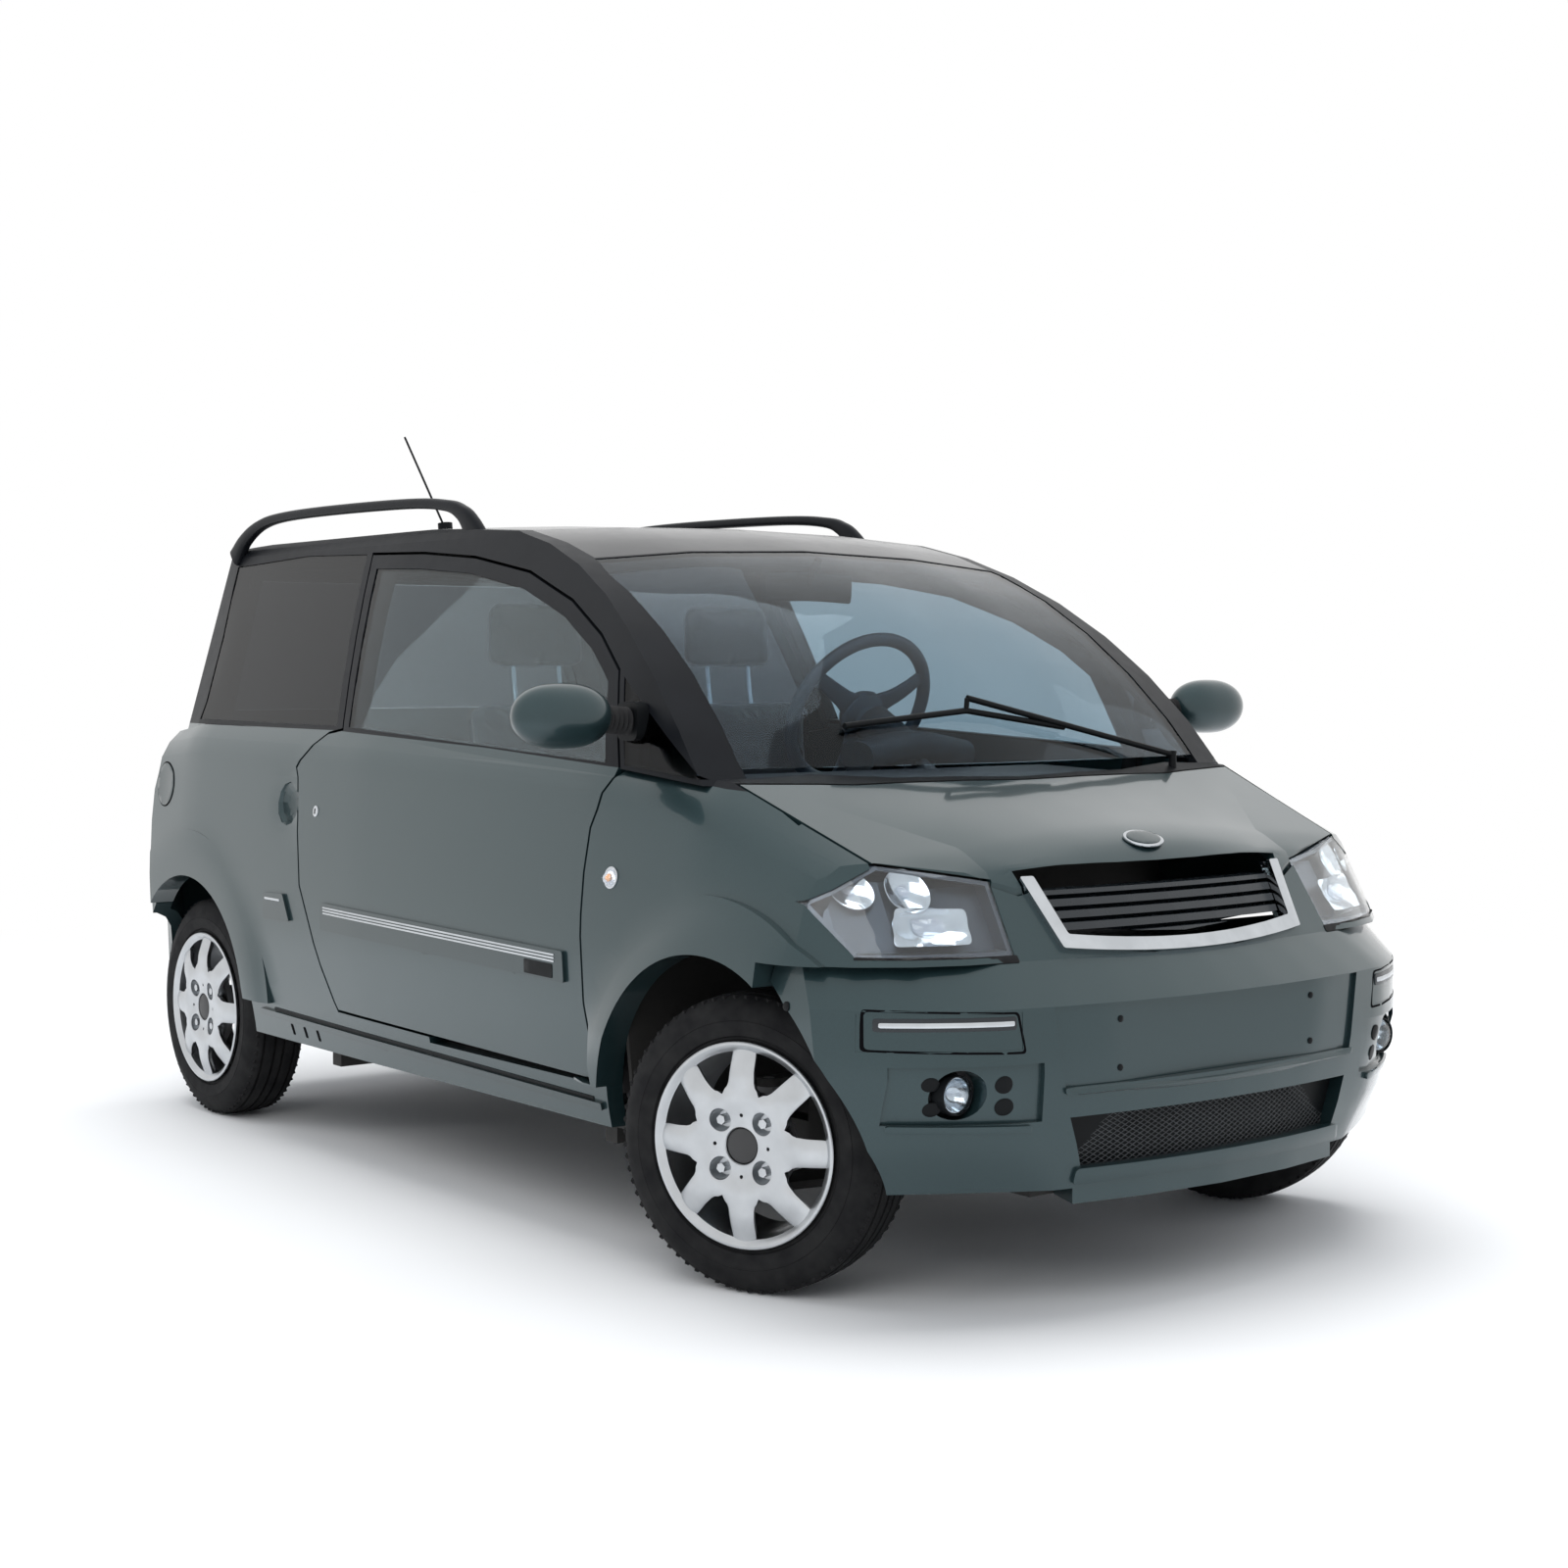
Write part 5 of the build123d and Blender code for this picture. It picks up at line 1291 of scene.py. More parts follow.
def steering_spoke(degrees: float) -> bpy.types.Mesh:
    """One spoke, tapered from the hub to the rim."""
    a = math.radians(degrees)
    steps = len(SPOKE_DROPS)
    path = np.array([(r * math.cos(a), r * math.sin(a), drop) for r, drop in
                     zip(np.linspace(0.020, STEER_R - 0.004, steps), SPOKE_DROPS)])
    widths = np.interp(np.arange(steps), (0, 3, 8), (0.034, 0.022, 0.016))
    section = np.column_stack([widths, np.full(steps, SPOKE_THICK)])
    return painted(swept("spoke", path, section, UP, 3.0, 20), "wheel_grip")


def steering_wheel() -> bpy.types.Mesh:
    """The steering wheel: a soft rim, three tapered spokes, a padded hub and the column."""
    angles = np.linspace(0.0, math.tau, 96, endpoint=False)
    rim = np.column_stack([STEER_R * np.cos(angles), STEER_R * np.sin(angles),
                           np.zeros_like(angles)])
    parts = [painted(swept("rim", rim, STEER_SECTION, UP, 2.0, 20, True), "wheel_grip")]
    parts += [steering_spoke(degrees) for degrees in STEER_SPOKES]
    hub = turned("hub", [(0.0, 0.014), (0.030, 0.012), (0.048, 0.004), (0.055, -0.010),
                         (0.052, -0.024), (0.030, -0.034), (0.026, -0.060), (0.0, -0.060)], 48)
    parts.append(painted(moved(hub, Matrix.Rotation(math.pi / 2, 4, "X")), "wheel_grip"))
    column = turned("column", [(0.0, -0.050), (0.034, -0.052), (0.040, -0.075), (0.040, -0.180),
                               (0.0, -0.185)], 40)
    parts.append(painted(moved(column, Matrix.Rotation(math.pi / 2, 4, "X")), "cabin"))
    mesh = joined("steering", parts)
    lean = Matrix.Rotation(-(math.pi / 2 - COLUMN_LEAN), 4, "Y")
    return moved(mesh, Matrix.Translation(STEER_MIDDLE) @ lean)


# Seats: middle of the cushions across the car, and their boxes (x, half y, z)
SEAT_MIDDLE = 0.268


@dataclass(frozen=True)
class Pad:
    """A padded cushion of the seats: a rounded box that a short cloth simulation swells."""

    name: str
    low: Point
    high: Point
    lean: float
    voxel: float = 0.0058
    swell: float = 0.012

    def build(self, side: Side, source: Optional[bpy.types.Mesh] = None) -> bpy.types.Mesh:
        """Make the cushion on one side, or copy a finished one across."""
        if source is not None:
            mesh = source.copy()
            mesh.transform(Matrix.Translation((0.0, 2 * side.value * SEAT_MIDDLE, 0.0)))
            return mesh
        low, high = Vector(self.low), Vector(self.high)
        size, middle = high - low, (high + low) / 2
        mesh = bpy.data.meshes.new(self.name)
        with editing(mesh) as bm:
            bmesh.ops.create_cube(bm, size=1.0)
            for vert in bm.verts:
                share = 0.5 + vert.co.z
                vert.co = Vector((vert.co.x * size.x, vert.co.y * size.y * (1.0 - PAD_TAPER * share),
                                  vert.co.z * size.z)) + middle
                vert.co.x -= self.lean * (vert.co.z - low.z)
                vert.co.y += side.value * SEAT_MIDDLE
        mesh = finished(mesh, 0.0, PAD_EDGE, 4)
        return self._swollen(mesh)

    def _swollen(self, mesh: bpy.types.Mesh) -> bpy.types.Mesh:
        """Run the cloth pass: remesh, inflate a little, cap the movement and round it off."""
        carrier = carried(self.name, mesh)
        remesh = carrier.modifiers.new("remesh", "REMESH")
        remesh.mode = "VOXEL"
        remesh.voxel_size = self.voxel
        base = evaluated(carrier)
        carrier.modifiers.remove(remesh)
        carrier.data = base
        start = column(base.vertices, "co")
        cloth = carrier.modifiers.new("cloth", "CLOTH")
        cloth.settings.use_pressure = True
        cloth.settings.uniform_pressure_force = PRESSURE
        cloth.settings.effector_weights.gravity = 0.0
        cloth.settings.quality = 4
        cloth.point_cache.frame_end = FRAMES
        for frame in range(1, FRAMES + 1):
            bpy.context.scene.frame_set(frame)
        grown = evaluated(carrier)
        bpy.context.scene.frame_set(1)
        move = column(grown.vertices, "co") - start
        length = np.linalg.norm(move, axis=1)[:, None]
        move *= np.minimum(1.0, self.swell / np.maximum(length, 1e-9))
        grown.vertices.foreach_set("co", (start + move).ravel())
        carrier.modifiers.remove(cloth)
        bpy.data.objects.remove(carrier)
        return finished(grown, 0.0, 0.0, 2, 1)


# What every cushion shares: its edge, its narrowing to the top and the cloth pass
PAD_EDGE = 0.035
PAD_TAPER = 0.06
PRESSURE = 4.0
FRAMES = 20

PADS = (
    Pad("seat_cushion", (-0.235, -0.205, 0.385), (0.165, 0.205, 0.500), 0.0),
    Pad("seat_back", (-0.268, -0.200, 0.480), (-0.178, 0.200, 1.020), 0.11),
    Pad("seat_headrest", (-0.345, -0.122, 1.098), (-0.290, 0.122, 1.240), 0.05, swell=0.007),
)


def seats() -> None:
    """Both seats: padded cushions, backs and headrests on moulded bases with steel posts."""
    for pad in PADS:
        first = pad.build(Side.RIGHT)
        other = pad.build(Side.LEFT, first)
        for side, mesh in ((Side.RIGHT, first), (Side.LEFT, other)):
            piece = new_object(f"{pad.name}_{side.name.lower()}", mesh, "fabric")
    frames = []
    for side in Side:
        y = side.value * SEAT_MIDDLE
        base = flowing([(-0.250, y, 0.305), (0.0, y, 0.300), (0.130, y, 0.315)], 14)
        frames.append(painted(swept("base", base, (0.165, 0.052), UP, 5.0, 28),
                              "cabin"))
        hull = flowing([(-0.242, y, 0.420), (-0.262, y, 0.560), (-0.310, y, 0.980)], 16)
        frames.append(painted(swept("hull", hull, (0.175, 0.022), AHEAD, 4.0, 28),
                              "cabin"))
        for offset in (-0.060, 0.060):
            post = flowing([(-0.300, y + offset, 0.985), (-0.314, y + offset, 1.060),
                            (-0.322, y + offset, 1.130)], 8)
            frames.append(painted(swept("post", post, (0.006, 0.006), AHEAD), "chrome"))
    replacing("seat_frames", joined("seat_frames", frames), "seats", "cabin")


def cabin_details() -> None:
    """The inside mirror, the instrument hood and the vents."""
    stem = flowing([(0.372, 0.0, 1.322), (0.352, 0.0, 1.300), (0.338, 0.0, 1.272)], 10)
    plate_path = flowing([(0.330, -0.115, 1.262), (0.333, 0.0, 1.266), (0.330, 0.115, 1.262)], 20)
    mirror = joined("inside_mirror", [
        painted(swept("stem", stem, (0.008, 0.008), AHEAD), "trim_black"),
        painted(swept("plate", plate_path, (0.011, 0.030), UP, 3.5, 28),
                "trim_black")])
    new_object("inside_mirror", mirror, "trim_black")
    hood = flowing([(0.372, 0.105, 0.905), (0.380, 0.245, 0.925), (0.372, 0.385, 0.905)], 24)
    parts = [painted(swept("hood", hood, (0.060, 0.034), UP, 2.6, 32), "cabin")]
    for y in (-0.480, -0.150, 0.010, 0.500):
        vent = turned("vent", [(0.0, 0.006), (0.026, 0.006), (0.030, 0.010), (0.037, 0.010),
                               (0.040, 0.004), (0.040, -0.020), (0.0, -0.020)], 36)
        parts.append(painted(moved(vent, Matrix.Translation((0.345, y, 0.815))
                                   @ Matrix.Rotation(math.pi / 2, 4, "Z")), "trim_black"))
    new_object("dashboard_details", joined("dashboard_details", parts), "cabin")


def dress_details() -> None:
    """Every piece that takes a CAD node's place with a finer form."""
    replacing("roof_rail_bows", roof_rails(), "roof_rails", "arch_satin")
    replacing("mirror_shells", mirror_shells(), "mirrors", "paint")
    replacing("fog_lamp_units", fog_lamps(), "fog_lamps", "trim_black", slot="lamp_inside")
    replacing("grille_surround", grille_surround(), "grille_frame", "chrome")
    replacing("steering_wheel_soft", steering_wheel(), "steering_wheel", "wheel_grip",
              Body.STEERING)
    new_object("lower_mesh", Lattice().build(), "mesh_black")
    seats()
    cabin_details()


# Door moulding, seen from the side (x, z)
MOULDING = [(-0.446, 0.521), (0.553, 0.507), (0.549, 0.566), (-0.442, 0.581)]
REAR_MOULDING = [(-0.740, 0.522), (-0.604, 0.526), (-0.634, 0.586), (-0.736, 0.582)]
LINE_PITCH = 0.0062
LINE_H = 0.0034


def moulding_line(k: int) -> Outline:
    """One of the bright lines along the top of the door moulding."""
    drop = 0.0075 + LINE_PITCH * k
    return rounded([(-0.428, 0.5805 - drop - LINE_H), (0.522, 0.5663 - drop - LINE_H),
                    (0.522, 0.5663 - drop), (-0.428, 0.5805 - drop)], 0.0012, 2)


def side_trims() -> list[Trim]:
    """Mouldings, lock, fuel flap and sill ledge of both sides."""
    trims = [
        # The mouldings wear the darkened copy of the body paint: painted shade.
        Trim("door_moulding", SIDES, [rounded(MOULDING, 0.006)], "paint_dark", 0.0065, 0.008,
             0.002, step=0.03, on_door=True),
        Trim("door_moulding_blank", SIDES, [rounded([(0.414, 0.5135), (0.515, 0.5120),
             (0.515, 0.5390), (0.414, 0.5405)], 0.003)], "trim_black", 0.0074, 0.002, 0.0005,
             on_door=True),
        Trim("rear_moulding", SIDES, [rounded(REAR_MOULDING, 0.006)], "paint_dark", 0.0065, 0.008,
             0.002),
        Trim("rear_moulding_line", SIDES, [box(-0.724, 0.5680, -0.648, 0.5730, 0.0015)], "chrome",
             0.0080, 0.003, 0.0005),
        Trim("door_lock_ring", SIDES, [oval(-0.493, 0.779, 0.0125)], "chrome", 0.0022, 0.004,
             0.001, 0.0012, 0.006, True),
        # The lock's slot is a near-black sheet: painted shade inside the keyhole.
        Trim("door_lock_slot", SIDES, [box(-0.4945, 0.773, -0.4915, 0.785, 0.0012)], "shadow",
             0.0040, 0.002, 0.0, step=0.006, on_door=True),
        Trim("repeater_ring", SIDES, [oval(0.694, 0.714, 0.0205)], "chrome", 0.003, 0.004, 0.001,
             step=0.006),
        Trim("repeater_lens", SIDES, [oval(0.694, 0.714, 0.0165)], "bulb", 0.004, 0.004, 0.0,
             0.013, 0.004),
        Trim("repeater_bulb", SIDES, [oval(0.690, 0.714, 0.0075)], "amber_lens", 0.0045, 0.003,
             0.0, 0.006, 0.003, slot="lens_clear"),
        # The flap's gap is a near-black ring and the flap a darkened copy of the body paint: painted
        # shade of the recess.
        Trim("fuel_flap_gap", SIDES[:1], [oval(-1.344, 0.806, 0.0560)], "shadow", 0.0008, 0.002,
             0.0, step=0.012),
        Trim("fuel_flap", SIDES[:1], [oval(-1.344, 0.806, 0.0525)], "paint_dark", 0.0020, 0.004,
             0.0012, -0.0012, 0.010),
        Trim("bumper_side_screw", SIDES, [oval(1.208, 0.534, 0.0085)], "trim_black", 0.002, 0.004,
             0.0008, 0.001, 0.004),
        # The sill ledge wears the darkened copy of the body paint: painted shade.
        Trim("sill_ledge", SIDES, [rounded([(-0.800, 0.294), (0.640, 0.275), (0.640, 0.289),
             (-0.800, 0.308)], 0.004)], "paint_dark", 0.007, 0.009, 0.0025, step=0.04),
        Trim("sill_groove", SIDES, [rounded([(-0.730, 0.309), (0.610, 0.291), (0.610, 0.298),
             (-0.730, 0.3165)], 0.002)], "trim_black", 0.0015, 0.003, 0.0005, step=0.04),
    ]
    for k in range(3):
        trims.append(Trim(f"door_moulding_line_{k}", SIDES, [moulding_line(k)], "chrome", 0.0078,
                          0.003, 0.0005, step=0.03, on_door=True))
        x = -0.650 + 0.064 * k
        # Each sill slot is a near-black sheet: painted shade inside the slot.
        trims.append(Trim(f"sill_slot_{k}", SIDES, [rounded([(x, 0.262), (x + 0.010, 0.262),
                          (x + 0.002, 0.286), (x - 0.008, 0.286)], 0.003)], "shadow", 0.0008,
                          0.002, 0.0, step=0.008))
    return trims


# What the headlamps hold: name, dish, its stand and hollow, bulb, its stand, dome and step
LAMP_INSIDES = (
    ("side_lamp", oval(-0.624, 0.724, 0.030), -0.011, 0.015, oval(-0.624, 0.724, 0.009),
     -0.021, 0.008, 0.003),
    ("main_lamp", oval(-0.540, 0.722, 0.036), -0.011, 0.017, oval(-0.540, 0.722, 0.010),
     -0.022, 0.009, 0.003),
    ("dip_lamp", rounded([(-0.596, 0.634), (-0.462, 0.634), (-0.449, 0.690), (-0.574, 0.696)],
                         0.010), -0.010, 0.019, box(-0.548, 0.650, -0.496, 0.678, 0.010),
     -0.021, 0.008, 0.004),
)


def front_trims() -> list[Trim]:
    """Badge, plate screws, bumper inserts, fog lamp fixings and the insides of the lamps."""
    front = (View.FRONT,)
    trims = [
        Trim("bonnet_badge_ring", (View.TOP,), [oval(1.318, 0.0, 0.026, 0.045)], "chrome", 0.0310,
             0.004, 0.001, 0.001, 0.006, body=Body.BONNET),
        # The badge blank wears the darkened copy of the body paint: painted shade.
        Trim("bonnet_badge_blank", (View.TOP,), [oval(1.318, 0.0, 0.021, 0.039)], "paint_dark",
             0.0326, 0.003, 0.0006, 0.0012, 0.006, body=Body.BONNET),
        Trim("plate_lip", front, [rounded([(-0.364, 0.386), (0.364, 0.386), (0.367, 0.397),
             (-0.367, 0.397)], 0.004)], "paint", 0.0055, 0.010, 0.0045, step=0.03),
        Trim("mesh_lip", front, [rounded([(-0.338, 0.229), (0.338, 0.229), (0.334, 0.257),
             (-0.334, 0.257)], 0.008)], "paint", 0.0075, 0.014, 0.0065, step=0.03),
        Trim("grille_top_slat", front, [rounded([(-0.290, 0.704), (0.290, 0.704),
             (0.296, 0.727), (-0.296, 0.727)], 0.003)], "gloss_black", -0.016, 0.006, 0.002,
             step=0.03),
        # A near-black ring round each bumper insert: painted shade in the gap.
        Trim("insert_gap", front, [rounded([(-0.676, 0.5385), (-0.677, 0.4685), (-0.439, 0.4605),
             (-0.452, 0.5305)][::-1], 0.008), rounded([(-0.672, 0.5350), (-0.672, 0.4720),
             (-0.443, 0.4645), (-0.4555, 0.5270)][::-1], 0.007)], "shadow", 0.0006, 0.002, 0.0,
             step=0.02, paired=True),
        Trim("fog_ledge", front, [rounded([(-0.640, 0.3310), (-0.428, 0.3280),
             (-0.428, 0.3400), (-0.640, 0.3430)], 0.004)], "paint", 0.0060, 0.010, 0.0040,
             paired=True),
        # A gloss black band round the bright insert strip: painted shade along its edges.
        Trim("insert_slot", front, [box(-0.662, 0.5015, -0.457, 0.5235, 0.005)], "gloss_black",
             0.0014, 0.003, 0.0008, paired=True),
        Trim("insert_strip", front, [box(-0.656, 0.5080, -0.462, 0.5165, 0.003)], "chrome",
             0.0030, 0.003, 0.0008, paired=True),
        Trim("lamp_underline", front, [rounded([(-0.662, 0.600), (-0.392, 0.602),
             (-0.392, 0.614), (-0.660, 0.616)], 0.003)], "seal", 0.0015, 0.004, 0.001,
             paired=True),
    ]
    for name, dish, deep, hollow, bulb, bulb_stand, bulb_dome, step in LAMP_INSIDES:
        trims.append(Trim(name + "_dish", front, [dish], "reflector", deep, 0.0015, 0.0005,
                          -hollow, 0.006, paired=True))
        trims.append(Trim(name + "_bulb", front, [bulb], "bulb", bulb_stand, 0.003, 0.0,
                          bulb_dome, step, paired=True))
    for i, (y, z, r) in enumerate(((-0.584, 0.413, 0.0125), (-0.576, 0.370, 0.0125),
                                   (-0.474, 0.410, 0.0150), (-0.470, 0.372, 0.0150))):
        trims.append(Trim(f"fog_lamp_fixing_{i}", front, [oval(y, z, r, count=18)], "trim_black",
                          0.0012, 0.003, 0.0008, 0.001, 0.005, paired=True))
    for i, (y, z) in enumerate(((-0.243, 0.504), (-0.243, 0.421), (0.243, 0.504),
                                (0.243, 0.421))):
        trims.append(Trim(f"plate_screw_{i}", front, [oval(y, z, 0.0062, count=16)],
                          "trim_black", 0.0016, 0.003, 0.0008, 0.002, 0.003))
    return trims


def rear_trims() -> list[Trim]:
    """Lamp fields, number plate pad, tailgate handle and brake lamp."""
    back = (View.BACK,)
    return [
        Trim("turn_lamp_field", back, [box(-0.684, 0.812, -0.606, 0.850, 0.008)], "amber_lens",
             0.0016, 0.003, 0.0008, paired=True, slot="lens_red"),
        Trim("reverse_lamp_field", back, [box(-0.684, 0.716, -0.606, 0.750, 0.008)], "bulb",
             0.0016, 0.003, 0.0008, paired=True),
        Trim("rear_plate_pad", back, [box(-0.262, 0.470, 0.262, 0.585, 0.008)], "trim_black",
             0.0020, 0.004, 0.001, step=0.03),
        Trim("rear_reflector", back, [box(-0.600, 0.372, -0.480, 0.402, 0.006)], "red_lens",
             0.0030, 0.004, 0.001, paired=True),
        Trim("tailgate_handle", back, [box(-0.110, 0.742, 0.110, 0.784, 0.012)], "trim_black",
             0.0100, 0.012, 0.004, body=Body.TAILGATE),
        Trim("tailgate_lock", back, [oval(0.0, 0.826, 0.013)], "chrome", 0.0025, 0.004, 0.001,
             step=0.005, body=Body.TAILGATE),
        Trim("high_brake_lamp", back, [box(-0.130, 1.327, 0.130, 1.349, 0.005)], "red_lens",
             0.0060, 0.008, 0.002, body=Body.TAILGATE),
    ]


@dataclass
class Wheel:
    """A tyre on a silver eight-spoke wheel, built about the Y axis with its face towards -Y."""

    name: str
    body: Body
    centre: Point
    turn: float
    side: Side
    tyre_radius: float = 0.265
    half_width: float = 0.075
    spokes: int = 8
    nut_circle: float = 0.060
    cap_radius: float = 0.033
    spoke_half: float = 0.027
    spoke_root: float = 0.0965
    nuts: int = 4
    nut_hole: float = 0.0205
    dot_circle: float = 0.054
    dot_radius: float = 0.0032
    blocks: int = 72

    def build(self) -> None:
        """Make the wheel's pieces and put them in place of the CAD's."""
        place = Matrix.Translation(self.centre) @ Matrix.Rotation(math.radians(self.turn), 4, "Z")
        if self.side is Side.LEFT:
            place = place @ Matrix.Rotation(math.pi, 4, "Z")
        replacing("tyre_tread_" + self.name, moved(self._tyre(), place), "tyre_" + self.name,
                  "tyre", self.body)
        replacing("wheel_" + self.name, moved(self._rim(), place), "rim_" + self.name, "alloy",
                  self.body)

    def _tyre(self) -> bpy.types.Mesh:
        """The tyre: bulged sidewalls, a bead line and grooves round the tread."""
        w, r = self.half_width, self.tyre_radius
        side = [(0.1660, w - 0.016), (0.1865, w - 0.0065), (0.1895, w - 0.0075),
                (0.1920, w - 0.0030), (0.2050, w - 0.0004), (0.2180, w), (0.2185, w - 0.0010),
                (0.2200, w - 0.0002), (0.2340, w - 0.0030), (0.2460, w - 0.0080),
                (0.2530, w - 0.0130), (0.2585, w - 0.0195)]
        tread = [(r - 0.0035, w - 0.0230), (r - 0.0020, w - 0.0320), (r - 0.0080, w - 0.0325),
                 (r - 0.0080, w - 0.0385), (r - 0.0010, w - 0.0390), (r - 0.0002, w - 0.0600),
                 (r - 0.0075, w - 0.0605), (r - 0.0075, w - 0.0670), (r, w - 0.0675)]
        half = side + tread
        profile = half + [(radius, -y) for radius, y in half[::-1]]
        carcass = painted(turned("tyre", profile, 112), "tyre")
        return joined("tyre", [carcass, self._blocks()])

    def _blocks(self) -> bpy.types.Mesh:
        """Shoulder blocks of the tread, repeated round both edges."""
        meshes = []
        for sign in (-1.0, 1.0):
            meshes.append(RingRepeat(
                count=self.blocks, radius=self.tyre_radius - 0.0068,
                along=sign * (self.half_width - 0.024), size=(0.008, 0.018, 0.0060),
                tilt=sign * 30.0, material="tyre").build())
        return joined("blocks", meshes)

    def _height(self, x: float, z: float) -> float:
        """How far the spoke face stands out (negative Y) at a point of the wheel's plane."""
        r = math.hypot(x, z)
        angle = math.atan2(z, x)
        pitch = math.tau / self.spokes
        off = (angle + pitch / 2) % pitch - pitch / 2
        across = abs(r * math.sin(off)) / self.spoke_half
        face = self.half_width + 0.0035
        dish = 0.006 * smooth(0.04, 0.09, r) - 0.0145 * smooth(0.118, 0.181, r)
        crown = -0.0055 * min(1.0, across) ** 2.4 * smooth(0.085, 0.125, r)
        return -(face + dish + crown)

    def _star(self) -> Outline:
        """The outline of the spoke plate."""
        pitch = math.tau / self.spokes
        quarter = [(0.1795, 0.0), (0.1640, 0.0240), (0.1540, 0.0245), (0.1300, 0.0250),
                   (0.1120, 0.0262), (0.1040, 0.0285), (0.0985, 0.0330)]
        result = []
        for k in range(self.spokes):
            c, s = math.cos(k * pitch), math.sin(k * pitch)
            root = self.spoke_root
            half = [(x * c - y * s, x * s + y * c) for x, y in quarter]
            other = [(x * c + y * s, x * s - y * c) for x, y in quarter[:0:-1]]
            middle = (k + 0.5) * pitch
            result += other + half + [(root * math.cos(middle), root * math.sin(middle))]
        return result

    def _barrel(self) -> bpy.types.Mesh:
        """The barrel between the beads, with the rolled lip on the side of the face."""
        w = self.half_width
        profile = [(0.1655, -w + 0.008), (0.1810, -w + 0.0045), (0.1822, -w + 0.0020),
                   (0.1822, -w - 0.0015), (0.1806, -w - 0.0030), (0.1770, -w - 0.0034),
                   (0.1735, -w - 0.0012), (0.1700, -w + 0.0020), (0.1652, -w + 0.0060),
                   (0.1622, -w + 0.0200), (0.1590, -w + 0.0500), (0.1590, w - 0.0150),
                   (0.1760, w - 0.0040), (0.1815, w - 0.0030), (0.1815, w - 0.0060),
                   (0.1655, w - 0.0110)]
        return painted(turned("barrel", profile, 128), "alloy")

    def _nut_places(self) -> list[tuple[float, float]]:
        """Where the nuts sit in the wheel's plane (x, z)."""
        step = math.tau / self.nuts
        angles = [step / 2 + i * step for i in range(self.nuts)]
        return [(self.nut_circle * math.cos(a), self.nut_circle * math.sin(a)) for a in angles]

    def _spoke_plate(self) -> bpy.types.Mesh:
        """The spoke plate, with holes for the cap and the nuts and a dot between two nuts."""
        holes = [oval(0.0, 0.0, self.cap_radius, count=40)]
        for i, (x, z) in enumerate(self._nut_places()):
            dot = i * math.tau / self.nuts
            holes.append(oval(x, z, self.nut_hole, count=28))
            holes.append(oval(self.dot_circle * math.cos(dot), self.dot_circle * math.sin(dot),
                              self.dot_radius, count=10))
        star = plate("spokes", [self._star()] + holes, 0.0052,
                     lambda x, z: (x, self._height(x, z), z), 0.013, 0.0016)
        return painted(star, "alloy")

    def _hub(self) -> list[bpy.types.Mesh]:
        """The steel hub behind the plate, the plain cap and the bright ring round the cap."""
        w = self.half_width
        back = turned("hub_back", [(0.0, -w + 0.022), (0.092, -w + 0.020), (0.092, -w + 0.034),
                                   (0.0, -w + 0.036)], 48)
        cap = turned("cap", [(0.0, -w - 0.0030), (0.026, -w - 0.0026), (0.0300, -w - 0.0010),
                             (0.0325, -w + 0.0030), (0.0325, -w + 0.0160), (0.0, -w + 0.0160)], 48)
        ring = turned("cap_ring", [(0.0322, -w - 0.0020), (0.0335, -w - 0.0038),
                                   (0.0352, -w - 0.0030), (0.0356, -w + 0.0010),
                                   (0.0322, -w + 0.0050)], 64)
        return [painted(back, "steel"), painted(cap, "cap"), painted(ring, "alloy")]

    def _rim(self) -> bpy.types.Mesh:
        """The whole wheel: barrel, spoke plate, hub with its cap, nut wells and nuts."""
        wells = [self._well(x, z) for x, z in self._nut_places()]
        nuts = RingRepeat(count=self.nuts, radius=self.nut_circle, along=-self.half_width + 0.006,
                          size=(0.0088, 0.020, 0.0088), tilt=0.0, material="alloy",
                          shape=Repeated.NUT, start=180.0 / self.nuts).build()
        return joined("wheel", [self._barrel(), self._spoke_plate()] + self._hub() + wells + [nuts])

    def _well(self, x: float, z: float) -> bpy.types.Mesh:
        """The round well that a wheel nut sits in."""
        w = self.half_width
        well = turned("well", [(0.0, -w + 0.0165), (0.0150, -w + 0.0160), (0.0192, -w + 0.0100),
                               (0.0205, -w - 0.0030), (0.0214, -w - 0.0020),
                               (0.0214, -w + 0.0200), (0.0, -w + 0.0200)], 32)
        return painted(moved(well, Matrix.Translation((x, 0.0, z))), "alloy")


def smooth(low: float, high: float, value: float) -> float:
    """A soft step from 0 to 1 between two values."""
    t = min(1.0, max(0.0, (value - low) / (high - low)))
    return t * t * (3.0 - 2.0 * t)


class Repeated(Enum):
    """The forms that a ring repeats."""

    BLOCK = "block"
    NUT = "nut"


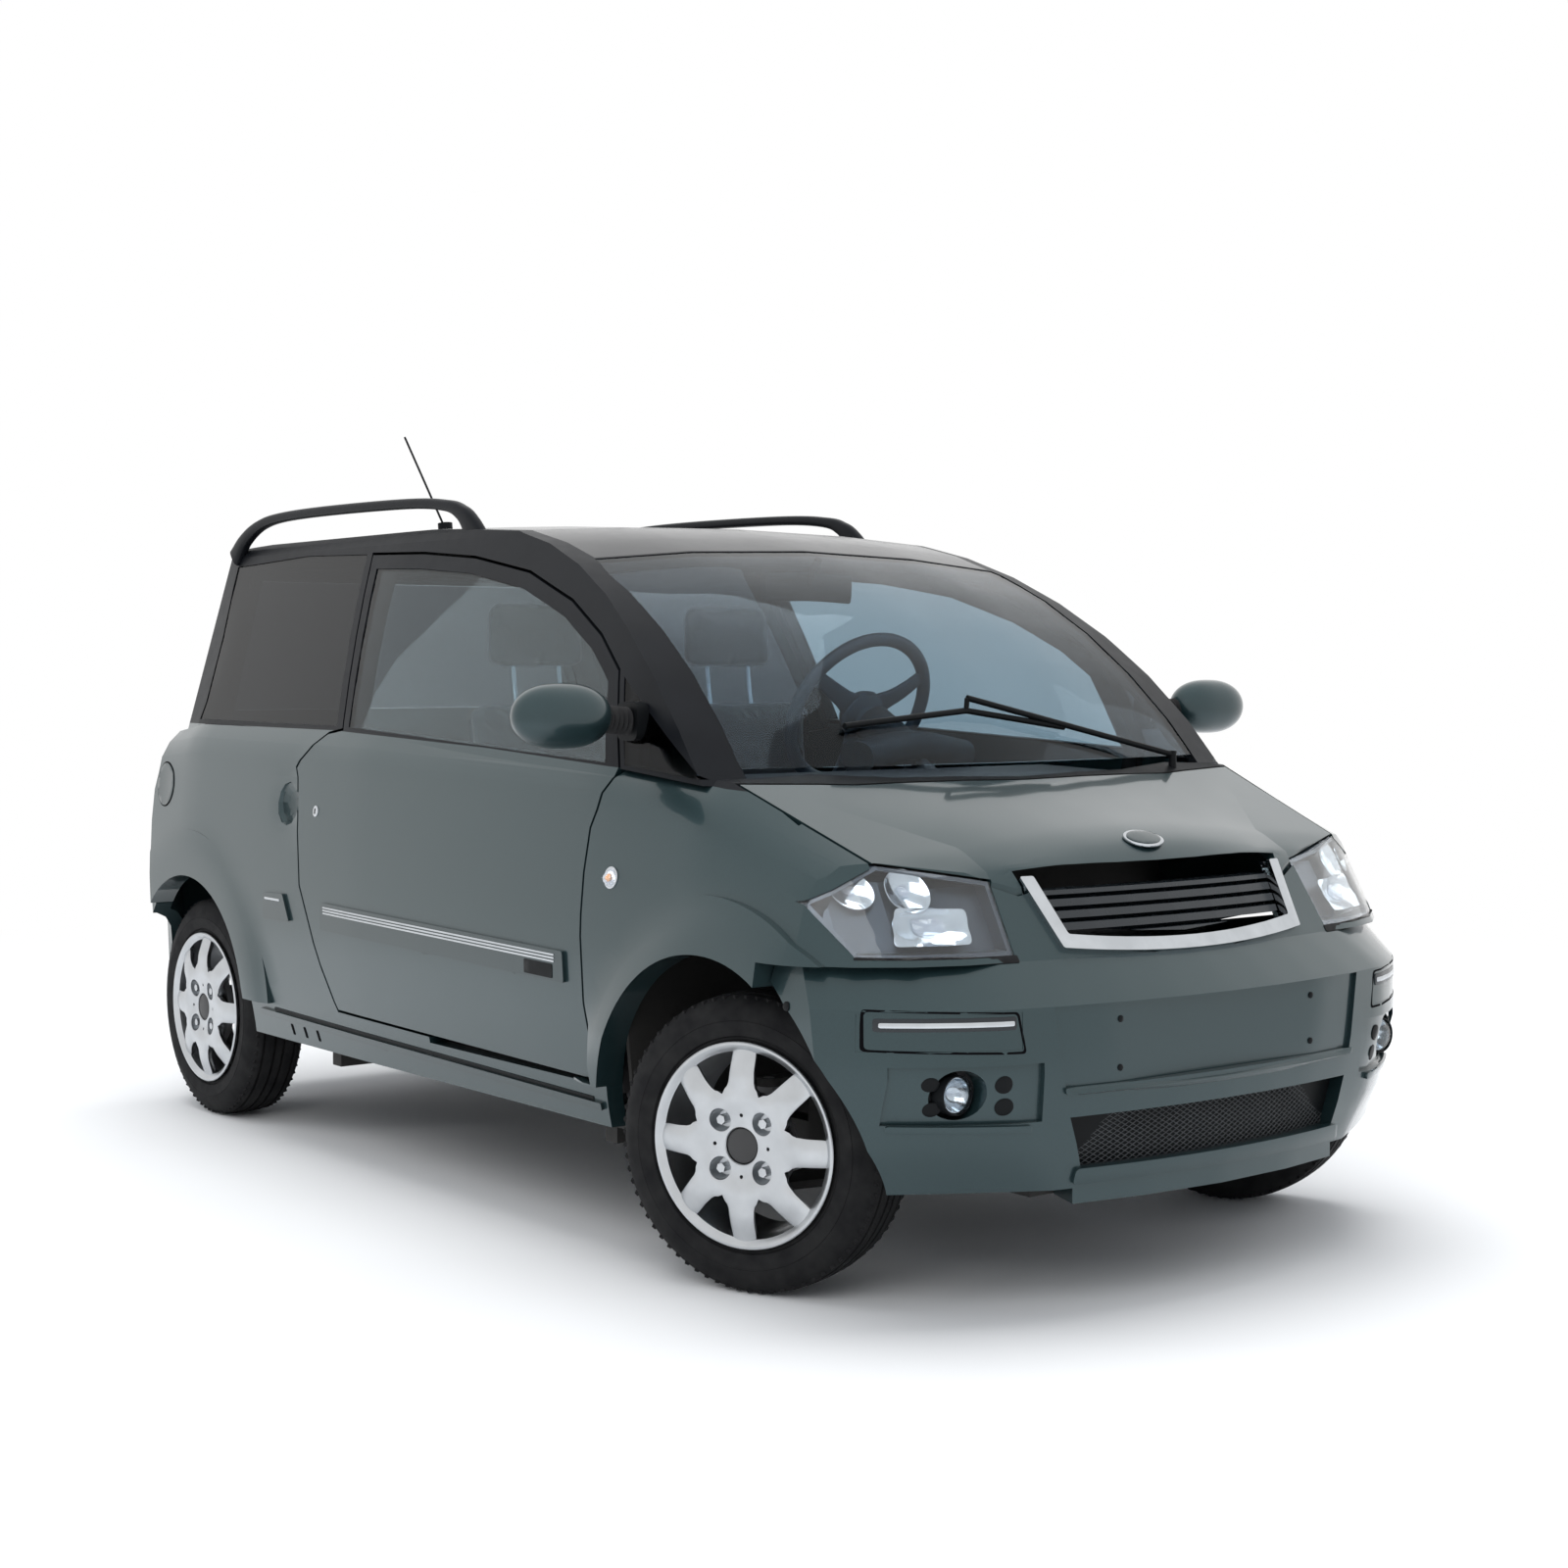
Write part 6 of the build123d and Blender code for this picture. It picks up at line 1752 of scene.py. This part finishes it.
@dataclass
class RingRepeat:
    """Geometry Nodes that repeat a small form round the wheel's axis."""

    count: int
    radius: float
    along: float
    size: tuple[float, float, float]
    tilt: float
    material: str
    shape: Repeated = Repeated.BLOCK
    start: float = 0.0

    def build(self) -> bpy.types.Mesh:
        """Run the tree and return its result as a plain mesh."""
        tree = NodeTree("ring_repeat")
        count = tree.number("Count", "NodeSocketInt", self.count)
        radius = tree.number("Radius", "NodeSocketFloat", self.radius)
        along = tree.number("Along Axis", "NodeSocketFloat", self.along)
        size = tree.number("Size", "NodeSocketVector", self.size)
        tilt = tree.number("Tilt", "NodeSocketFloat", math.radians(self.tilt))
        start = tree.number("Start Angle", "NodeSocketFloat", math.radians(self.start))
        circle = tree.out("GeometryNodeMeshCircle", Vertices=count, Radius=radius)
        upright = tree.out("GeometryNodeTransform", Geometry=circle,
                           Rotation=tree.out("ShaderNodeCombineXYZ", X=math.pi / 2, Y=start),
                           Translation=tree.out("ShaderNodeCombineXYZ", Y=along))
        if self.shape is Repeated.BLOCK:
            form, lean = tree.out("GeometryNodeMeshCube", Size=size), 0.0
        else:
            parts = tree.node("ShaderNodeSeparateXYZ", Vector=size).outputs
            form, lean = tree.out("GeometryNodeMeshCylinder", Vertices=6, Radius=parts["X"],
                                  Depth=parts["Y"]), math.pi / 2
        pose = tree.out("ShaderNodeCombineXYZ", X=lean, Z=tilt)
        posed = tree.out("GeometryNodeTransform", Geometry=form, Rotation=pose)
        where = tree.out("GeometryNodeInputPosition")
        polar = tree.node("ShaderNodeSeparateXYZ", Vector=where).outputs
        angle = tree.out("ShaderNodeMath", polar["X"], polar["Z"], operation="ARCTAN2")
        copies = tree.out("GeometryNodeInstanceOnPoints", Points=upright, Instance=posed,
                          Rotation=tree.out("ShaderNodeCombineXYZ", Y=angle))
        return tree.result(copies, self.material)


class NodeTree(Graph):
    """A Geometry Nodes tree with named inputs, run once on an empty carrier."""

    def __init__(self, name: str) -> None:
        """Start a tree.

        Args:
            name: The tree's name.
        """
        super().__init__(bpy.data.node_groups.new(name, "GeometryNodeTree"), "")
        self.tree.interface.new_socket("Geometry", in_out="OUTPUT",
                                       socket_type="NodeSocketGeometry")
        self.entry = self.node("NodeGroupInput")
        self.values: dict[str, object] = {}
        self.name = name

    def number(self, name: str, kind: str, value: object) -> bpy.types.NodeSocket:
        """Add a named input.

        Args:
            name: The input's name.
            kind: Its socket type.
            value: The value that this run gives it.

        Returns:
            The socket inside the tree.
        """
        socket = self.tree.interface.new_socket(name, in_out="INPUT", socket_type=kind)
        self.values[socket.identifier] = value
        return next(o for o in self.entry.outputs if o.identifier == socket.identifier)

    def result(self, instances: bpy.types.NodeSocket, material: str) -> bpy.types.Mesh:
        """Finish the tree and return what it makes.

        Args:
            instances: The socket with the instances.
            material: The finish that the result gets.

        Returns:
            A plain mesh.
        """
        real = self.out("GeometryNodeRealizeInstances", Geometry=instances)
        coat = self.out("GeometryNodeSetMaterial", Geometry=real, Material=finish(material))
        self.node("NodeGroupOutput", Geometry=coat)
        carrier = carried(self.name, bpy.data.meshes.new(self.name))
        modifier = carrier.modifiers.new(self.name, "NODES")
        modifier.node_group = self.tree
        for identifier, value in self.values.items():
            modifier[identifier] = value
        mesh = evaluated(carrier)
        carrier.modifiers.remove(modifier)
        bpy.data.objects.remove(carrier)
        return mesh


# Studio


WHITE = (1.0, 1.0, 1.0, 1.0)


@dataclass
class Studio:
    """Floor, light and the camera that matches the photograph's view."""

    eye: Point = (4.4198, -3.2082, 1.1021)
    yaw: float = 142.403
    pitch: float = -2.788
    lens: float = 56.25
    floor_half: float = 40.0
    lamps: list[tuple[str, Point, Point, float, float]] = field(default_factory=lambda: [
        ("key_softbox", (5.0, -5.5, 5.5), (0.4, 0.0, 0.5), 5.0, 240.0),
        ("sky_softbox", (-1.0, 0.5, 8.0), (0.0, 0.0, 0.6), 7.0, 620.0),
        ("side_softbox", (-5.5, -5.0, 3.5), (-0.4, 0.0, 0.6), 4.0, 130.0),
        ("far_softbox", (2.0, 7.0, 4.0), (0.3, 0.0, 0.5), 5.0, 120.0),
    ])

    def build(self) -> None:
        """Make everything that isn't the car."""
        scene = bpy.context.scene
        scene.view_settings.view_transform = "Standard"
        self._floor()
        self._world()
        for lamp in self.lamps:
            self._lamp(*lamp)
        self._camera()

    def _floor(self) -> None:
        """A pale floor that keeps the car's shadow and looks white elsewhere."""
        h = self.floor_half
        mesh = bpy.data.meshes.new("floor")
        mesh.from_pydata([(-h, -h, 0), (h, -h, 0), (h, h, 0), (-h, h, 0)], [], [(0, 1, 2, 3)])
        s = Shader("studio_floor")
        s.set(Base_Color=s.ramp(s.noise(0.6), [(0.2, (0.80, 0.80, 0.80)),
                                               (0.8, (0.84, 0.84, 0.84))]), Roughness=0.85)
        self._fade(s)
        mesh.materials.append(s.material)
        carried("studio_floor", mesh)

    @staticmethod
    def _shown(graph: Graph) -> bpy.types.NodeSocket:
        """1 on the rays that see the plain white background: camera, mirror and glass rays."""
        rays = graph.node("LightPath").outputs
        seen = graph.out("Math", rays["Is Camera Ray"], rays["Is Glossy Ray"],
                         operation="MAXIMUM")
        return graph.out("Math", seen, rays["Is Transmission Ray"], operation="MAXIMUM")

    def _fade(self, s: Shader) -> None:
        """Make the floor plain white to camera, metal and glass away from the car's shadow."""
        far = s.node("VectorMath", s.place(), operation="LENGTH").outputs["Value"]
        blend = s.out("MapRange", Value=far, From_Min=2.6, From_Max=5.5,
                      interpolation_type="SMOOTHSTEP")
        share = s.out("Math", blend, self._shown(s), operation="MULTIPLY")
        white = s.out("Emission", Color=WHITE, Strength=1.0)
        mix = s.out("MixShader", share, s.surface.outputs["BSDF"], white)
        s.link(mix, s.tree.nodes["Material Output"].inputs["Surface"])

    def _world(self) -> None:
        """A plain pale surround: bright to the camera and to reflections, dimmer as a light."""
        world = bpy.data.worlds.new("studio")
        bpy.context.scene.world = world
        world.use_nodes = True
        graph = Graph(world.node_tree)
        light = graph.tree.nodes["Background"]
        graph.feed(light, Color=(0.86, 0.92, 1.0, 1.0), Strength=0.55)
        seen = graph.out("Background", Color=WHITE, Strength=1.0)
        mix = graph.out("MixShader", self._shown(graph), light.outputs["Background"], seen)
        graph.link(mix, graph.tree.nodes["World Output"].inputs["Surface"])

    def _lamp(self, name: str, place: Point, aim: Point, size: float, power: float) -> None:
        """Add one soft light.

        Args:
            name: Its name.
            place: Where it stands.
            aim: What it points at.
            size: Its edge length in metres.
            power: Its power in watts.
        """
        data = bpy.data.lights.new(name, "AREA")
        data.size = size
        data.energy = power
        lamp = carried(name, data)
        lamp.visible_glossy = False
        lamp.location = place
        lamp.rotation_euler = (Vector(aim) - Vector(place)).to_track_quat("-Z", "Y").to_euler()

    def _camera(self) -> None:
        """The photograph's camera, solved from the wheels and the car's symmetry."""
        data = bpy.data.cameras.new("photo_camera")
        data.sensor_width = data.sensor_height = 36.0
        data.sensor_fit = "HORIZONTAL"
        data.lens = self.lens
        data.clip_end = 200.0
        camera = carried("photo_camera", data)
        camera.location = self.eye
        yaw, pitch = math.radians(self.yaw), math.radians(self.pitch)
        ahead = Vector((math.cos(yaw) * math.cos(pitch), math.sin(yaw) * math.cos(pitch),
                        math.sin(pitch)))
        camera.rotation_euler = ahead.to_track_quat("-Z", "Y").to_euler()
        bpy.context.scene.camera = camera


# What each CAD node gets
PLAIN_FINISHES = {
    "opening_frames": "seal", "chassis_frame": "underseal",
    "floor_pan": "underseal", "engine_block": "engine", "exhaust": "steel",
    "front_suspension": "underseal", "rear_axle": "underseal", "knuckle_right": "steel",
    "knuckle_left": "steel", "lower_grille": "trim_black", "grille": "gloss_black",
    "headlamps": "bowl", "dashboard": "cabin", "wiper": "trim_black", "aerial": "trim_black",
    "mirror_glasses": "mirror",
}
SKINS = [
    CadFinish("door_right", "paint", Body.DOOR_RIGHT, 0.10, above_belt="arch_satin"),
    CadFinish("door_left", "paint", Body.DOOR_LEFT, 0.10, above_belt="arch_satin"),
    CadFinish("bonnet", "paint", Body.BONNET, 0.06, 30.0, lift=crowned),
    CadFinish("tailgate", "paint", Body.TAILGATE, 0.08),
    CadFinish("quarter_panels", "paint", Body.CAR, 0.10, above_belt="arch_satin"),
    CadFinish("wings", "paint", Body.CAR, 0.08),
    CadFinish("nose_panel", "paint", Body.CAR, 0.05),
    CadFinish("rear_bumper", "paint", Body.CAR, 0.06),
    CadFinish("front_bumper", "paint", Body.CAR, 0.06),
    CadFinish("roof_panel", "roof_gloss", Body.CAR, 0.14),
    CadFinish("pillars", "arch_satin", Body.CAR, 0.10),
    CadFinish("scuttle", "trim_black", Body.CAR, 0.05),
    CadFinish("windscreen", "screen", Body.CAR, 0.12),
    CadFinish("door_glass_right", "clear_glass", Body.DOOR_RIGHT, 0.12),
    CadFinish("door_glass_left", "clear_glass", Body.DOOR_LEFT, 0.12),
    CadFinish("tailgate_glass", "dark_glass", Body.TAILGATE, 0.10),
    CadFinish("fixed_side_glass", "dark_glass", Body.CAR, 0.10),
    CadFinish("headlamp_lenses", "lens", Body.CAR, 0.08),
    CadFinish("tail_lamps", "red_lens", Body.CAR, 0.06),
    CadFinish("sills", "paint", Body.CAR, 0.08),
    CadFinish("bumper_inserts", "paint", Body.CAR, 0.06),
]
KINGPIN = (0.989, 0.600, 0.265)
HUB_OUT = 0.015             # from the kingpin to the wheel's middle plane
STEER_REST = 22.0           # degrees that the front wheels are turned to the left
STEER_X = math.sin(math.radians(STEER_REST)) * HUB_OUT
STEER_Y = math.cos(math.radians(STEER_REST)) * HUB_OUT
WHEELS = [
    Wheel("front_right", Body.WHEEL_FRONT_RIGHT,
          (KINGPIN[0] + STEER_X, -KINGPIN[1] - STEER_Y, KINGPIN[2]), STEER_REST, Side.RIGHT),
    Wheel("front_left", Body.WHEEL_FRONT_LEFT,
          (KINGPIN[0] - STEER_X, KINGPIN[1] + STEER_Y, KINGPIN[2]), STEER_REST, Side.LEFT),
    Wheel("rear_right", Body.WHEEL_REAR_RIGHT, (-1.177, -0.615, 0.265), 0.0, Side.RIGHT),
    Wheel("rear_left", Body.WHEEL_REAR_LEFT, (-1.177, 0.615, 0.265), 0.0, Side.LEFT),
]


def main() -> None:
    """Build the car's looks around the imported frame."""
    logging.basicConfig(level=logging.INFO, format="%(name)s %(message)s")
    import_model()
    Studio().build()
    for node, material in PLAIN_FINISHES.items():
        CadFinish(node, material).dress()
    for skin in SKINS:
        skin.dress()
    for wheel in WHEELS:
        wheel.build()
    dress_details()
    panels = Panels()
    for trim in side_trims() + front_trims() + rear_trims():
        trim.build(panels)


if __name__ == "__main__":
    main()
